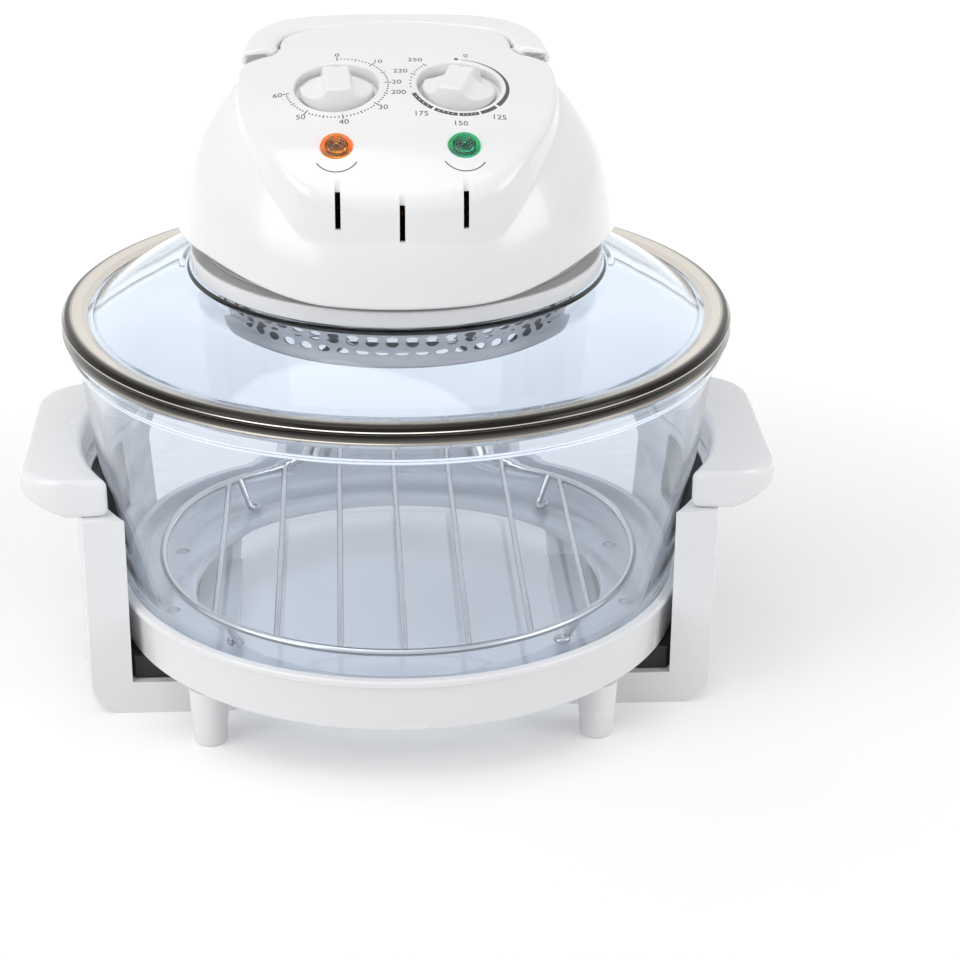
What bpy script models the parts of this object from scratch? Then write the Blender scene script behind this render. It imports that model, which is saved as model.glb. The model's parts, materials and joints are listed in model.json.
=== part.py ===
"""Halogen oven: a glass bowl in a ringed stand, with a lift-off glass lid that carries the heating head.

Metres, +Z up, the feet stand on z = 0 and the bowl's axis is the Z axis. The front is -Y.
"""
import bmesh
import bpy
import numpy as np
from math import cos, degrees, pi, radians, sin, sqrt
from mathutils import Matrix, Vector

# Shared clearances, cut overrun and facets
GAP = 0.0003
OVERRUN = 0.004
MERGE = 0.000002
FINE_TURN = 36
ROUND_TURN = 24
SMALL_TURN = 10

# Stand: legs and base ring
LEG_HEIGHT = 0.0315
LEG_INSET = 0.0105
LEG_TOP_RADIUS = 0.0105
LEG_FOOT_RADIUS = 0.0085
LEG_ROUND = 0.002
RING_TAPER = 0.0008
RING_ROUND = 0.002
RING_SKIRT = 0.0085
RING_FLOOR = 0.0080
RING_EYE = 0.110
RING_WALL = 0.0028
RING_LIP_RISE = 0.0204
RING_LIP_BAND = 0.0030
RING_LIP_PROUD = 0.0022

# Stand: side brackets, straps, liners and grips
BRACKET_HALF_DEPTH = 0.070
BRACKET_FOOT_ROUND = 0.016
POST_SPACE = 0.0008
POST_FINGER_SPACE = 0.0069
POST_END_THICK = 0.0212
POST_MIDDLE_THICK = 0.0070
ARM_HEIGHT = 0.018
ARM_LAP = 0.0628
GRIP_UNDERSIDE = 0.1110
GRIP_HEIGHT = 0.0205
GRIP_TIP_RISE = 0.0060
GRIP_REACH = 0.0250
GRIP_END_SPACE = 0.0035
GRIP_CORNER = 0.026
GRIP_FINGER_SPACE = 0.0068
GRIP_ROUND = 0.0042
STRAP_END_SPACE = 0.0045
STRAP_LAP = 0.0398
STRAP_SIDE_SPACE = 0.0012
LINER_THICK = 0.0015
LINER_HALF_DEPTH = 0.038
LINER_LOW_SPACE = 0.010
LINER_TOP_SPACE = 0.002
SCREW_INSET = 0.0258
SCREW_Y = 0.035
SCREW_SHANK = 0.0020
SCREW_HEAD = 0.0036
SCREW_HEAD_HEIGHT = 0.0022
SCREW_BITE = 0.0085

# Glass bowl
BOWL_WALL = 0.0045
BOWL_FLOOR = 0.0050
BOWL_FOOT_RADIUS = 0.126
BOWL_HEIGHT = 0.1534
BOWL_RIM_RADIUS = 0.1700
BOWL_RIM_HEIGHT = 0.0098
BOWL_RIM_WIDTH = 0.0085
BOWL_SIDE_RADIUS_SHARES = (0.8306, 0.860, 0.8694, 0.8953, 0.9388, 0.9718)
BOWL_SIDE_HEIGHT_SHARES = (0.028, 0.074, 0.134, 0.305, 0.612, 0.880)

# Wire rack
RACK_SIDE_SPACE = 0.0170
RACK_WIRE = 0.0020
RACK_HEIGHT = 0.0190
RACK_CROSS_WIRES = 7
RACK_LEGS = 4

# Lid band and lid glass
BAND_PROUD = 0.0025
BAND_WIDTH = 0.0135
BAND_HEIGHT = 0.0095
BAND_SKIN = 0.0008
BAND_ROUND = 0.0026
LID_WALL = 0.0050
LID_RISE = 0.0258
LID_HOLE = 0.0905
LID_SEAT_WIDTH = 0.0160
LID_STEP = 0.0016
LID_CURVE_SHARES = (0.0, 0.16, 0.38, 0.66, 1.0)
LID_RISE_SHARES = (0.0, 0.26, 0.56, 0.83, 1.0)

# Head: collar ring and base tray
COLLAR_STEP_SPACE = 0.0008
COLLAR_HOLE_SPACE = 0.0010
COLLAR_HEIGHT = 0.0087
COLLAR_ROUND = 0.0012
TRAY_SET_BACK = 0.0092
TRAY_WALL = 0.0022
TRAY_FLOOR = 0.0026
TRAY_HEIGHT = 0.0270
TRAY_FLANGE = 0.0022
TRAY_EYE = 0.0050
VENT_COUNT = 5
VENT_FIRST_ANGLE = 52.0
VENT_STEP_ANGLE = 6.3
VENT_WIDTH = 0.0026
VENT_HEIGHT = 0.0065
VENT_SILL = 0.0007

# Head: cover bell
BELL_WALL = 0.0025
BELL_RISE = 0.0896
BELL_OVERHANG = 0.0059
BELL_EDGE_RISE = 0.0026
BELL_EDGE_WAVE = 0.0105
BELL_WAVE_START_ANGLE = 18.0
BELL_WAVE_END_ANGLE = 62.0
BELL_RADIUS_SHARES = (0.269, 0.527, 0.700, 0.762, 0.802, 0.880, 0.934, 0.975, 1.0)
BELL_DROP_SHARES = (0.003, 0.033, 0.095, 0.176, 0.248, 0.420, 0.579, 0.778, 1.0)

# Head: control panel
PANEL_HALF_WIDTH = 0.0785
PANEL_FRONT_SET_BACK = 0.0066
PANEL_BACK = 0.0455
PANEL_WALL = 0.0025
PANEL_CROWN_DROP = 0.0060
PANEL_CREST = 0.0129
PANEL_FALL = 0.0500
PANEL_ROOT = 0.0600
PANEL_FRONT_WIDTH_SHARES = (0.06, 0.24, 0.44, 0.60, 0.75, 0.88, 0.96, 1.0)
PANEL_FRONT_REACH_SHARES = (1.0, 0.988, 0.953, 0.900, 0.785, 0.615, 0.46, 0.28)
PANEL_BACK_WIDTH_SHARES = (0.997, 0.983, 0.94, 0.86, 0.785, 0.745, 0.735, 0.705, 0.62, 0.36, 0.06)
PANEL_BACK_REACH_SHARES = (-0.44, -0.22, -0.09, 0.01, 0.06, 0.16, 0.40, 0.62, 0.78, 0.93, 1.0)
PANEL_PROFILE_SHARES = (0.0, 0.223, 0.535, 0.70, 0.814, 0.887, 0.953, 1.0)
PANEL_FALL_SHARES = (0.0, 0.024, 0.24, 0.438, 0.574, 0.712, 0.872, 1.0)
PANEL_RING_SHARES = (0.30, 0.62, 0.86, 1.0)
SLOT_SPACING = 0.0302
SLOT_WIDTH = 0.0026
SLOT_SIDE_HIGH = 0.0330
SLOT_SIDE_LENGTH = 0.0170
SLOT_MIDDLE_HIGH = 0.0385
SLOT_MIDDLE_LENGTH = 0.0165
SLOT_DEPTH = 0.016

# Dials and lamps
DIAL_X = 0.0298
DIAL_Y = -0.0325
DIAL_TILT = 14.5
DIAL_RECESS = 0.0205
DIAL_RECESS_DEPTH = 0.0055
KNOB_SPACE = 0.0025
KNOB_DISC = 0.0034
KNOB_SEAT = 0.0012
KNOB_GRIP_LENGTH = 0.0172
KNOB_GRIP_WIDTH = 0.0058
KNOB_GRIP_HEIGHT = 0.0090
KNOB_GRIP_NOTCH = 0.0012
KNOB_STEM = 0.0030
KNOB_STEM_LENGTH = 0.0085
LAMP_X = 0.0303
LAMP_Y = -0.0768
LAMP_TILT = 33.0
LAMP_RADIUS = 0.0076
LAMP_PROUD = 0.0022
LAMP_SEAT = 0.0014
LAMP_NECK = 0.0056
LAMP_NECK_LENGTH = 0.0040
LAMP_HOLDER_LENGTH = 0.0100

# Inside the head: controls
TIMER_WIDTH = 0.036
TIMER_LENGTH = 0.038
TIMER_DEPTH = 0.018
THERMOSTAT_RADIUS = 0.0165
THERMOSTAT_DEPTH = 0.017
TERMINAL_LENGTH = 0.032
TERMINAL_WIDTH = 0.012
TERMINAL_HEIGHT = 0.012
TERMINAL_EDGE_SPACE = 0.0020
GLAND_RADIUS = 0.0062
GLAND_BORE = 0.0034
GLAND_FLANGE = 0.0088
GLAND_FLANGE_THICK = 0.0020
GLAND_PROUD = 0.011
GLAND_INSIDE = 0.008
GLAND_RISE = 0.0120
GLAND_TILT = 17.0

# Handle, its pins and the switch under it
HANDLE_BAR = 0.0220
HANDLE_THICK = 0.0122
HANDLE_LIFT = 0.0005
HANDLE_SEAM = 0.0018
HANDLE_FRONT = 0.0062
HANDLE_CROWN_DROP = 0.0040
HANDLE_ROUND = 0.0030
HANDLE_END_ROUND = 0.0034
HANDLE_WIDTH_SHARES = (0.985, 0.978, 0.96, 0.90, 0.79, 0.64, 0.38, 0.0)
HANDLE_REACH_SHARES = (0.092, 0.20, 0.46, 0.70, 0.885, 0.975, 1.0, 0.995)
PIVOT_FROM_END = 0.0060
PIN_RADIUS = 0.0022
PIN_IN_ARM = 0.0060
PIN_IN_PANEL = 0.0060
SCOOP_WIDTH = 0.032
SCOOP_DEPTH = 0.0125
SCOOP_LENGTH = 0.018
PLUNGER_FROM_END = 0.0238
PLUNGER_RADIUS = 0.0022
PLUNGER_TRAVEL = 0.0030
PLUNGER_LENGTH = 0.0135
PLUNGER_HEAD = 0.0036
PLUNGER_HEAD_THICK = 0.0012
PLUNGER_BOSS_WALL = 0.0014
SWITCH_LENGTH = 0.018
SWITCH_WIDTH = 0.0085
SWITCH_HEIGHT = 0.0100
SWITCH_SHIFT = 0.0040

# Heater
PAN_SKIN = 0.0008
PAN_LAP = 0.0080
PAN_WALL_SPACE = 0.0017
PAN_EYE = 0.0048
GUARD_SKIN = 0.0007
GUARD_DEPTH = 0.0205
GUARD_LIP = 0.0040
GUARD_TAPER = 0.0040
GUARD_HOLES = 18
GUARD_HOLE = 0.0024
GUARD_RING_SHARES = (0.20, 0.44, 0.685)
GUARD_SLOT = 0.0125
GUARD_SPOKES = 6
GUARD_SPOKE_WIDTH = 0.008
TUBE_CIRCLE = 0.066
TUBE_RADIUS = 0.0050
TUBE_DROP = 0.0220
TUBE_GAP_ANGLE = 26.0
HOLDER_LENGTH = 0.014
HOLDER_WIDTH = 0.013
SHIELD_SPACE = 0.0032
SHIELD_THICK = 0.0008
CLAMP_INSET = 0.0075
CLAMP_SCREWS = 3
CLAMP_HEAD = 0.0034
CLAMP_HEAD_HEIGHT = 0.0018
CLAMP_SHANK = 0.0018
CLAMP_LENGTH = 0.0080

# Fan motor
SHAFT_RADIUS = 0.0025
SHAFT_TOP_SPACE = 0.0040
FAN_TIP_SPACE = 0.0055
FAN_BLADES = 8
FAN_BLADE_LEAN = 12.0
FAN_BLADE_HEIGHT = 0.0075
FAN_DISC = 0.0012
FAN_HUB = 0.0065
FAN_HUB_HEIGHT = 0.0100
FAN_CEILING_SPACE = 0.0030
BLADE_THICK = 0.0012
COOLER_RADIUS = 0.034
COOLER_BLADES = 8
COOLER_BLADE_LEAN = 18.0
COOLER_HEIGHT = 0.0060
COOLER_FLOOR_SPACE = 0.0030
BRIDGE_HEIGHT = 0.0172
BRIDGE_SIDE_SPACE = 0.0080
BRIDGE_WIDTH = 0.018
BRIDGE_SKIN = 0.0016
STATOR_WIDTH = 0.050
STATOR_BODY = 0.040
STATOR_YOKE = 0.022
STATOR_LIMB = 0.009
STATOR_HEIGHT = 0.015
ROTOR_RADIUS = 0.0125
ROTOR_AIR = 0.0006
COIL_END_SPACE = 0.0030
COIL_BUILD = 0.0050
CAP_BAR_LENGTH = 0.034
BEARING_HOUSING = 0.0060
BEARING_HEIGHT = 0.0040

# Radii and places that follow from the sizes above
BAND_RADIUS = BOWL_RIM_RADIUS + BAND_PROUD
BAND_INNER = BAND_RADIUS - BAND_WIDTH
LID_STEP_RADIUS = LID_HOLE + LID_SEAT_WIDTH
COLLAR_RADIUS = LID_STEP_RADIUS - COLLAR_STEP_SPACE
COLLAR_INNER = LID_HOLE + COLLAR_HOLE_SPACE
TRAY_RADIUS = COLLAR_RADIUS - TRAY_SET_BACK
BELL_RADIUS = COLLAR_RADIUS + BELL_OVERHANG
PANEL_FRONT = BELL_RADIUS - PANEL_FRONT_SET_BACK
KNOB_RADIUS = DIAL_RECESS - KNOB_SPACE
HANDLE_BACK = PANEL_BACK + HANDLE_BAR
PIVOT_Y = HANDLE_FRONT + PIVOT_FROM_END
PLUNGER_Y = HANDLE_FRONT + PLUNGER_FROM_END
PAN_FLANGE = LID_HOLE + PAN_LAP
GUARD_WALL_RADIUS = PAN_FLANGE - GUARD_LIP
GUARD_FOOT = GUARD_WALL_RADIUS - GUARD_TAPER
CLAMP_CIRCLE = LID_HOLE - CLAMP_INSET
SHIELD_RADIUS = CLAMP_CIRCLE - CLAMP_SHANK - SHIELD_SPACE
TERMINAL_Y = SHIELD_RADIUS - TERMINAL_EDGE_SPACE - TERMINAL_WIDTH / 2
FAN_RADIUS = TUBE_CIRCLE - HOLDER_WIDTH / 2 - FAN_TIP_SPACE
BRIDGE_SPAN = COOLER_RADIUS + BRIDGE_SIDE_SPACE
COIL_LENGTH = STATOR_WIDTH - 2 * STATOR_LIMB - 2 * COIL_END_SPACE

# Heights that follow from the sizes above
RING_FLOOR_TOP = LEG_HEIGHT + RING_SKIRT
RING_LIP_TOP = RING_FLOOR_TOP + RING_LIP_RISE
BOWL_BASE = RING_FLOOR_TOP + GAP
BOWL_INSIDE = BOWL_BASE + BOWL_FLOOR
BOWL_TOP = BOWL_BASE + BOWL_HEIGHT
BAND_BASE = BOWL_TOP + GAP
BAND_TOP = BAND_BASE + BAND_HEIGHT
LID_EDGE_BASE = BAND_BASE + BAND_SKIN + GAP
LID_EDGE_TOP = LID_EDGE_BASE + LID_WALL
LID_HOLE_TOP = LID_EDGE_TOP + LID_RISE
LID_HOLE_BASE = LID_HOLE_TOP - LID_WALL
COLLAR_BASE = LID_HOLE_TOP + GAP
COLLAR_TOP = COLLAR_BASE + COLLAR_HEIGHT
TRAY_BASE = COLLAR_TOP + GAP
TRAY_FLOOR_TOP = TRAY_BASE + TRAY_FLOOR
TRAY_TOP = TRAY_BASE + TRAY_HEIGHT
PAN_FLANGE_TOP = LID_HOLE_BASE - GAP
PAN_TOP = TRAY_BASE - GAP
PAN_CEILING = PAN_TOP - PAN_SKIN
GUARD_TOP = PAN_FLANGE_TOP - PAN_SKIN - GAP
GUARD_FLOOR = GUARD_TOP - GUARD_DEPTH
BELL_TOP = COLLAR_TOP + BELL_RISE
SHIELD_BASE = TRAY_FLOOR_TOP + GAP
SHIELD_TOP = SHIELD_BASE + SHIELD_THICK
BRIDGE_BASE = SHIELD_TOP + GAP
BRIDGE_TOP = BRIDGE_BASE + BRIDGE_HEIGHT
STATOR_BASE = BRIDGE_TOP + GAP
STATOR_TOP = STATOR_BASE + STATOR_HEIGHT
CAP_BASE = STATOR_TOP + GAP
CAP_TOP = CAP_BASE + BRIDGE_SKIN
TUBE_Z = PAN_CEILING - TUBE_DROP
BELL_EDGE = COLLAR_TOP + BELL_EDGE_RISE
PANEL_TOP = BELL_TOP + PANEL_CREST
HANDLE_BASE = BELL_TOP + HANDLE_LIFT
PIVOT_Z = HANDLE_BASE + HANDLE_THICK / 3


def material(name, colour, roughness, metallic=0.0, clear=0.0):
    """A plain finish with a colour, a roughness, a metallic value and how clear it is."""
    finish = bpy.data.materials.new(name)
    finish.use_nodes = True
    shader = finish.node_tree.nodes["Principled BSDF"]
    shader.inputs["Base Color"].default_value = (*colour, 1.0)
    shader.inputs["Roughness"].default_value = roughness
    shader.inputs["Metallic"].default_value = metallic
    shader.inputs["Transmission Weight"].default_value = clear
    return finish


WHITE = (0.80, 0.80, 0.81)
plastic = material("white plastic", WHITE, 0.28)
shade_plastic = material("shaded white plastic", (0.70, 0.70, 0.71), 0.4)
knob_plastic = material("knob plastic", (0.84, 0.84, 0.85), 0.3)
black_rubber = material("black strap", (0.015, 0.015, 0.016), 0.6)
glass = material("clear glass", (0.86, 0.91, 0.97), 0.03, clear=0.9)
chrome = material("polished steel", (0.62, 0.60, 0.57), 0.12, metallic=1.0)
wire_steel = material("rack wire", (0.66, 0.66, 0.66), 0.22, metallic=1.0)
sheet_steel = material("sheet steel", (0.55, 0.55, 0.56), 0.35, metallic=1.0)
aluminium = material("aluminium", (0.75, 0.75, 0.76), 0.4, metallic=1.0)
ceramic = material("ceramic", (0.82, 0.79, 0.70), 0.7)
quartz = material("quartz tube", (0.93, 0.90, 0.84), 0.05, clear=0.7)
copper = material("copper winding", (0.62, 0.24, 0.09), 0.35, metallic=1.0)
laminate = material("stator steel", (0.24, 0.24, 0.26), 0.5, metallic=0.8)
dark_plastic = material("dark plastic", (0.05, 0.05, 0.055), 0.5)
amber = material("orange lens", (0.95, 0.28, 0.02), 0.15, clear=0.3)
green = material("green lens", (0.01, 0.36, 0.16), 0.15, clear=0.3)


def as_object(name, mesh_edit, finish, sharp_angle=35.0):
    """Closes a mesh edit, turns its faces outward and makes it a smooth-shaded object."""
    bmesh.ops.remove_doubles(mesh_edit, verts=mesh_edit.verts, dist=MERGE)
    bmesh.ops.recalc_face_normals(mesh_edit, faces=mesh_edit.faces)
    mesh = bpy.data.meshes.new(name)
    mesh_edit.to_mesh(mesh)
    mesh_edit.free()
    mesh.shade_smooth()
    mesh.set_sharp_from_angle(angle=radians(sharp_angle))
    mesh.materials.append(finish)
    made = bpy.data.objects.new(name, mesh)
    bpy.context.scene.collection.objects.link(made)
    return made


def turn_profile(profile, steps):
    """Spins (radius, height) points about Z; a profile that starts on the axis is left open there."""
    edit = bmesh.new()
    points = [edit.verts.new((radius, 0, height)) for radius, height in profile]
    edges = [edit.edges.new(pair) for pair in zip(points, points[1:])]
    if profile[0][0] > 0:
        edges.append(edit.edges.new((points[-1], points[0])))
    bmesh.ops.spin(edit, geom=points + edges, axis=(0, 0, 1), cent=(0, 0, 0), angle=2 * pi,
                   steps=steps, use_merge=True, use_duplicate=False)
    return edit


def turned(name, profile, finish, steps=FINE_TURN):
    """A turned piece about the Z axis."""
    return as_object(name, turn_profile(profile, steps), finish)


def drum_profile(radius, low, high):
    """The profile of a plain drum from one height to another."""
    return [(0, low), (radius, low), (radius, high), (0, high)]


def tube_profile(inner, outer, low, high):
    """The profile of a plain ring or sleeve."""
    return [(inner, low), (outer, low), (outer, high), (inner, high)]


def loft(sections):
    """Joins equal loops of points by quads and closes both ends."""
    edit = bmesh.new()
    loops = [[edit.verts.new(point) for point in section] for section in sections]
    for lower, upper in zip(loops, loops[1:]):
        for index in range(len(lower)):
            following = (index + 1) % len(lower)
            edit.faces.new((lower[index], lower[following], upper[following], upper[index]))
    edit.faces.new(list(reversed(loops[0])))
    edit.faces.new(loops[-1])
    return edit


def prism(name, outline, low, high, finish):
    """Carries a plan outline up to a height, from one height or from a function of x and y."""
    low_at = low if callable(low) else lambda x, y: low
    sections = [[(x, y, low_at(x, y)) for x, y in outline], [(x, y, high) for x, y in outline]]
    return as_object(name, loft(sections), finish)


def block(name, size, centre, finish):
    """A rectangular block by its size and centre."""
    edit = bmesh.new()
    bmesh.ops.create_cube(edit, size=1.0)
    bmesh.ops.scale(edit, vec=size, verts=edit.verts)
    bmesh.ops.translate(edit, vec=centre, verts=edit.verts)
    return as_object(name, edit, finish)


def arc(centre, radius, start, end, count):
    """Points on an arc; angles in degrees from +X towards +Y."""
    angles = np.radians(np.linspace(start, end, count))
    return [(centre[0] + radius * cos(angle), centre[1] + radius * sin(angle)) for angle in angles]


def x_at(points, y):
    """The x of an outline's side at a given y."""
    return float(np.interp(y, [point[1] for point in points], [point[0] for point in points]))


def bulge(side_x, middle_x, half_depth, count):
    """An arc in plan that passes (side_x, -half_depth), (middle_x, 0) and (side_x, half_depth)."""
    rise = middle_x - side_x
    radius = (half_depth ** 2 + rise ** 2) / (2 * rise)
    reach = degrees(np.arcsin(half_depth / radius))
    return arc((middle_x - radius, 0), radius, -reach, reach, count)


def mirrored(outline):
    """The same outline on the other side of the YZ plane."""
    return [(-x, y) for x, y in reversed(outline)]


def soften(piece, width, segments=2, angle=50.0):
    """Rounds a piece's sharp edges."""
    rounding = piece.modifiers.new("rounding", "BEVEL")
    rounding.width = width
    rounding.segments = segments
    rounding.limit_method = "ANGLE"
    rounding.angle_limit = radians(angle)


def combine(piece, other, operation):
    """Adds or cuts another shape, which then only guides this one."""
    change = piece.modifiers.new(other.name, "BOOLEAN")
    change.operation = operation
    change.object = other
    other.hide_render = True
    other.display_type = "WIRE"


def cut(piece, *cutters):
    """Takes each cutter's shape out of a piece."""
    for cutter in cutters:
        combine(piece, cutter, "DIFFERENCE")


def weld(piece, *others):
    """Makes each other shape one body with a piece."""
    for other in others:
        combine(piece, other, "UNION")


def joined_meshes(name, edits, finish):
    """Several closed meshes that don't touch, as one guide shape."""
    whole = bmesh.new()
    for edit in edits:
        bmesh.ops.recalc_face_normals(edit, faces=edit.faces)
        part = bpy.data.meshes.new(name)
        edit.to_mesh(part)
        edit.free()
        whole.from_mesh(part)
        bpy.data.meshes.remove(part)
    return as_object(name, whole, finish)


def moved(edit, matrix):
    """The same mesh edit under a matrix."""
    bmesh.ops.transform(edit, matrix=matrix, verts=edit.verts)
    return edit


def standing_cutters(name, profile, places):
    """The same turned cutter standing at several places in plan, as one guide shape."""
    edits = []
    for x, y in places:
        edit = turn_profile(profile, SMALL_TURN)
        bmesh.ops.remove_doubles(edit, verts=edit.verts, dist=MERGE)
        edits.append(moved(edit, Matrix.Translation((x, y, 0))))
    return joined_meshes(name, edits, plastic)


def side_name(side):
    """The word for a side, from the sign of its x."""
    return "left" if side < 0 else "right"


def screw_places(*sides):
    """Where the stand's screws are in plan, on one side or on both, an inset within the ring's wall."""
    screw_x = sqrt((ring_wall_outer() - SCREW_INSET) ** 2 - SCREW_Y ** 2)
    return [(side * screw_x, depth * SCREW_Y) for side in sides or (-1, 1) for depth in (-1, 1)]


def upright(place, tilt=0.0):
    """A frame at a place whose Z axis leans forward by the tilt in degrees."""
    return Matrix.Translation(place) @ Matrix.Rotation(radians(tilt), 4, "X")


def turned_about_z(edit, angle):
    """The same mesh edit turned about the Z axis, in degrees."""
    return moved(edit, Matrix.Rotation(radians(angle), 4, "Z"))


# Faces that several pieces share
def bowl_side_points(inset=0.0):
    """The bowl's outer side as (radius, height), from its foot to the rim, moved in by an inset."""
    points = [(BOWL_FOOT_RADIUS, BOWL_BASE)]
    for radius_share, height_share in zip(BOWL_SIDE_RADIUS_SHARES, BOWL_SIDE_HEIGHT_SHARES):
        points.append((radius_share * BOWL_RIM_RADIUS, BOWL_BASE + height_share * BOWL_HEIGHT))
    return [(radius - inset, height) for radius, height in points]


def bowl_radius_at(height):
    """The bowl's outer radius at a height."""
    radii, heights = zip(*bowl_side_points())
    return float(np.interp(height, heights, radii))


def ring_wall_outer():
    """The outer radius of the base ring's wall, just below its lip."""
    return bowl_radius_at(RING_LIP_TOP) + GAP + RING_WALL


def beside_bowl(height, half_depth):
    """How far out a face starts that reaches a half depth along Y and clears the bowl at a height."""
    return sqrt((bowl_radius_at(height) + POST_SPACE) ** 2 - half_depth ** 2)


def post_inner():
    """The inner face of a post in plan: its x at the ends and at the middle, where fingers pass."""
    middle = bowl_radius_at(GRIP_UNDERSIDE) + POST_FINGER_SPACE
    return beside_bowl(GRIP_UNDERSIDE, BRACKET_HALF_DEPTH), middle


def post_outer():
    """The outer face of a post in plan: its x at the ends and at the middle."""
    end, middle = post_inner()
    return end + POST_END_THICK, middle + POST_MIDDLE_THICK


# Stand
def make_legs():
    """Four short tapered legs under the base ring."""
    top = LEG_HEIGHT - GAP
    profile = [(0, 0), (LEG_FOOT_RADIUS - LEG_ROUND, 0), (LEG_FOOT_RADIUS, LEG_ROUND),
               (LEG_TOP_RADIUS, top), (0, top)]
    reach = (ring_wall_outer() - LEG_INSET) / sqrt(2)
    for depth_name, y in (("front", -reach), ("rear", reach)):
        for side in (-1, 1):
            leg = turned(f"leg_{depth_name}_{side_name(side)}", profile, plastic, steps=SMALL_TURN)
            leg.location = (side * reach, y, 0)


def make_base_ring():
    """The ring the bowl sits in: a floor with an eye, a skirt, a wall beside the bowl, and a proud lip."""
    lip_base = RING_LIP_TOP - RING_LIP_BAND
    top_inner = bowl_radius_at(RING_LIP_TOP) + GAP
    wall_inner = bowl_radius_at(lip_base) + GAP
    wall_outer = ring_wall_outer()
    foot = wall_outer - RING_TAPER
    skirt_inner = foot - RING_WALL
    floor_base = RING_FLOOR_TOP - RING_FLOOR
    lip_outer = wall_outer + RING_LIP_PROUD
    lip_round = RING_LIP_PROUD / 2
    outside = [(RING_EYE, floor_base), (skirt_inner - RING_ROUND, floor_base), (skirt_inner, LEG_HEIGHT),
               (foot - RING_ROUND, LEG_HEIGHT), (foot, LEG_HEIGHT + RING_ROUND),
               (wall_outer, lip_base - lip_round), (lip_outer, lip_base),
               (lip_outer, RING_LIP_TOP - RING_LIP_BAND / 3)]
    inside = [(lip_outer - lip_round, RING_LIP_TOP), (top_inner, RING_LIP_TOP), (wall_inner, lip_base),
              (skirt_inner, (RING_FLOOR_TOP + lip_base) / 2), (skirt_inner - RING_ROUND, RING_FLOOR_TOP),
              (RING_EYE, RING_FLOOR_TOP)]
    ring = turned("base_ring", outside + inside, plastic)
    low, high = floor_base - OVERRUN, RING_FLOOR_TOP + OVERRUN
    seat = RING_FLOOR_TOP - SCREW_HEAD_HEIGHT - 2 * GAP
    shank, head = SCREW_SHANK + GAP, SCREW_HEAD + GAP
    pocket = [(0, low), (shank, low), (shank, seat), (head, seat), (head, high), (0, high)]
    cut(ring, standing_cutters("ring pockets", pocket, screw_places()))


def make_bracket(side):
    """An L-shaped bracket: an arm on the table under the ring and a post that hugs the bowl."""
    name = side_name(side)
    arm_inner = ring_wall_outer() - ARM_LAP
    post_top = GRIP_UNDERSIDE - GAP
    count = 11
    inner = bulge(*post_inner(), BRACKET_HALF_DEPTH, count)
    outer = bulge(*post_outer(), BRACKET_HALF_DEPTH, count)
    sections = []
    for y in np.linspace(-BRACKET_HALF_DEPTH, BRACKET_HALF_DEPTH, count):
        inner_x, outer_x = x_at(inner, y), x_at(outer, y)
        corner = arc((outer_x - BRACKET_FOOT_ROUND, BRACKET_FOOT_ROUND), BRACKET_FOOT_ROUND, -90, 0, 5)
        post = [(outer_x, post_top), (inner_x, post_top), (inner_x, ARM_HEIGHT)]
        section = [(arm_inner, 0)] + corner + post + [(arm_inner, ARM_HEIGHT)]
        sections.append([(side * x, y, z) for x, z in section])
    bracket = as_object(f"{name}_bracket", loft(sections), plastic)
    hole = drum_profile(SCREW_SHANK + GAP, ARM_HEIGHT - SCREW_BITE - GAP, ARM_HEIGHT + OVERRUN)
    cut(bracket, standing_cutters(f"{name} screw holes", hole, screw_places(side)))


def make_grip(side):
    """The rounded ear on a bracket, hollowed on the bowl's side so that fingers pass behind it."""
    half_depth = BRACKET_HALF_DEPTH - GRIP_END_SPACE
    root = post_outer()[1]
    tip = root + GRIP_REACH
    front = (tip - GRIP_CORNER, GRIP_CORNER - half_depth)
    back = (front[0], -front[1])
    top = GRIP_UNDERSIDE + GRIP_HEIGHT
    inner = bulge(beside_bowl(top, half_depth), bowl_radius_at(top) + GRIP_FINGER_SPACE, half_depth, 13)
    outline = arc(front, GRIP_CORNER, -90, 0, 7) + arc(back, GRIP_CORNER, 0, 90, 7) + list(reversed(inner))
    if side < 0:
        outline = mirrored(outline)

    def underside(x, y):
        share = max(0.0, (abs(x) - root) / (tip - root))
        return GRIP_UNDERSIDE + share * GRIP_TIP_RISE

    grip = prism(f"{side_name(side)}_grip", outline, underside, top, plastic)
    soften(grip, GRIP_ROUND, angle=40.0)


def make_strap(side):
    """The black strap between a bracket's arm and the base ring."""
    half_depth = BRACKET_HALF_DEPTH - STRAP_END_SPACE
    inner = bulge(*post_inner(), BRACKET_HALF_DEPTH, 9)
    edge = [(x - STRAP_SIDE_SPACE, y * half_depth / BRACKET_HALF_DEPTH) for x, y in inner]
    strap_inner = ring_wall_outer() - STRAP_LAP
    outline = [(strap_inner, -half_depth)] + edge + [(strap_inner, half_depth)]
    if side < 0:
        outline = mirrored(outline)
    strap = prism(f"{side_name(side)}_strap", outline, ARM_HEIGHT + GAP, LEG_HEIGHT - GAP, black_rubber)
    hole = drum_profile(SCREW_SHANK + GAP, ARM_HEIGHT - OVERRUN, LEG_HEIGHT + OVERRUN)
    cut(strap, standing_cutters(f"{side_name(side)} strap holes", hole, screw_places(side)))


def make_liner(side):
    """The dark strip on the post's inner face, beside the glass."""
    face = bulge(*post_inner(), BRACKET_HALF_DEPTH, 41)
    outer = [(x_at(face, y) - GAP, y) for y in np.linspace(-LINER_HALF_DEPTH, LINER_HALF_DEPTH, 9)]
    outline = outer + [(x - LINER_THICK, y) for x, y in reversed(outer)]
    if side < 0:
        outline = mirrored(outline)
    low, high = RING_LIP_TOP + LINER_LOW_SPACE, GRIP_UNDERSIDE - LINER_TOP_SPACE
    prism(f"{side_name(side)}_liner", outline, low, high, black_rubber)


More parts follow.
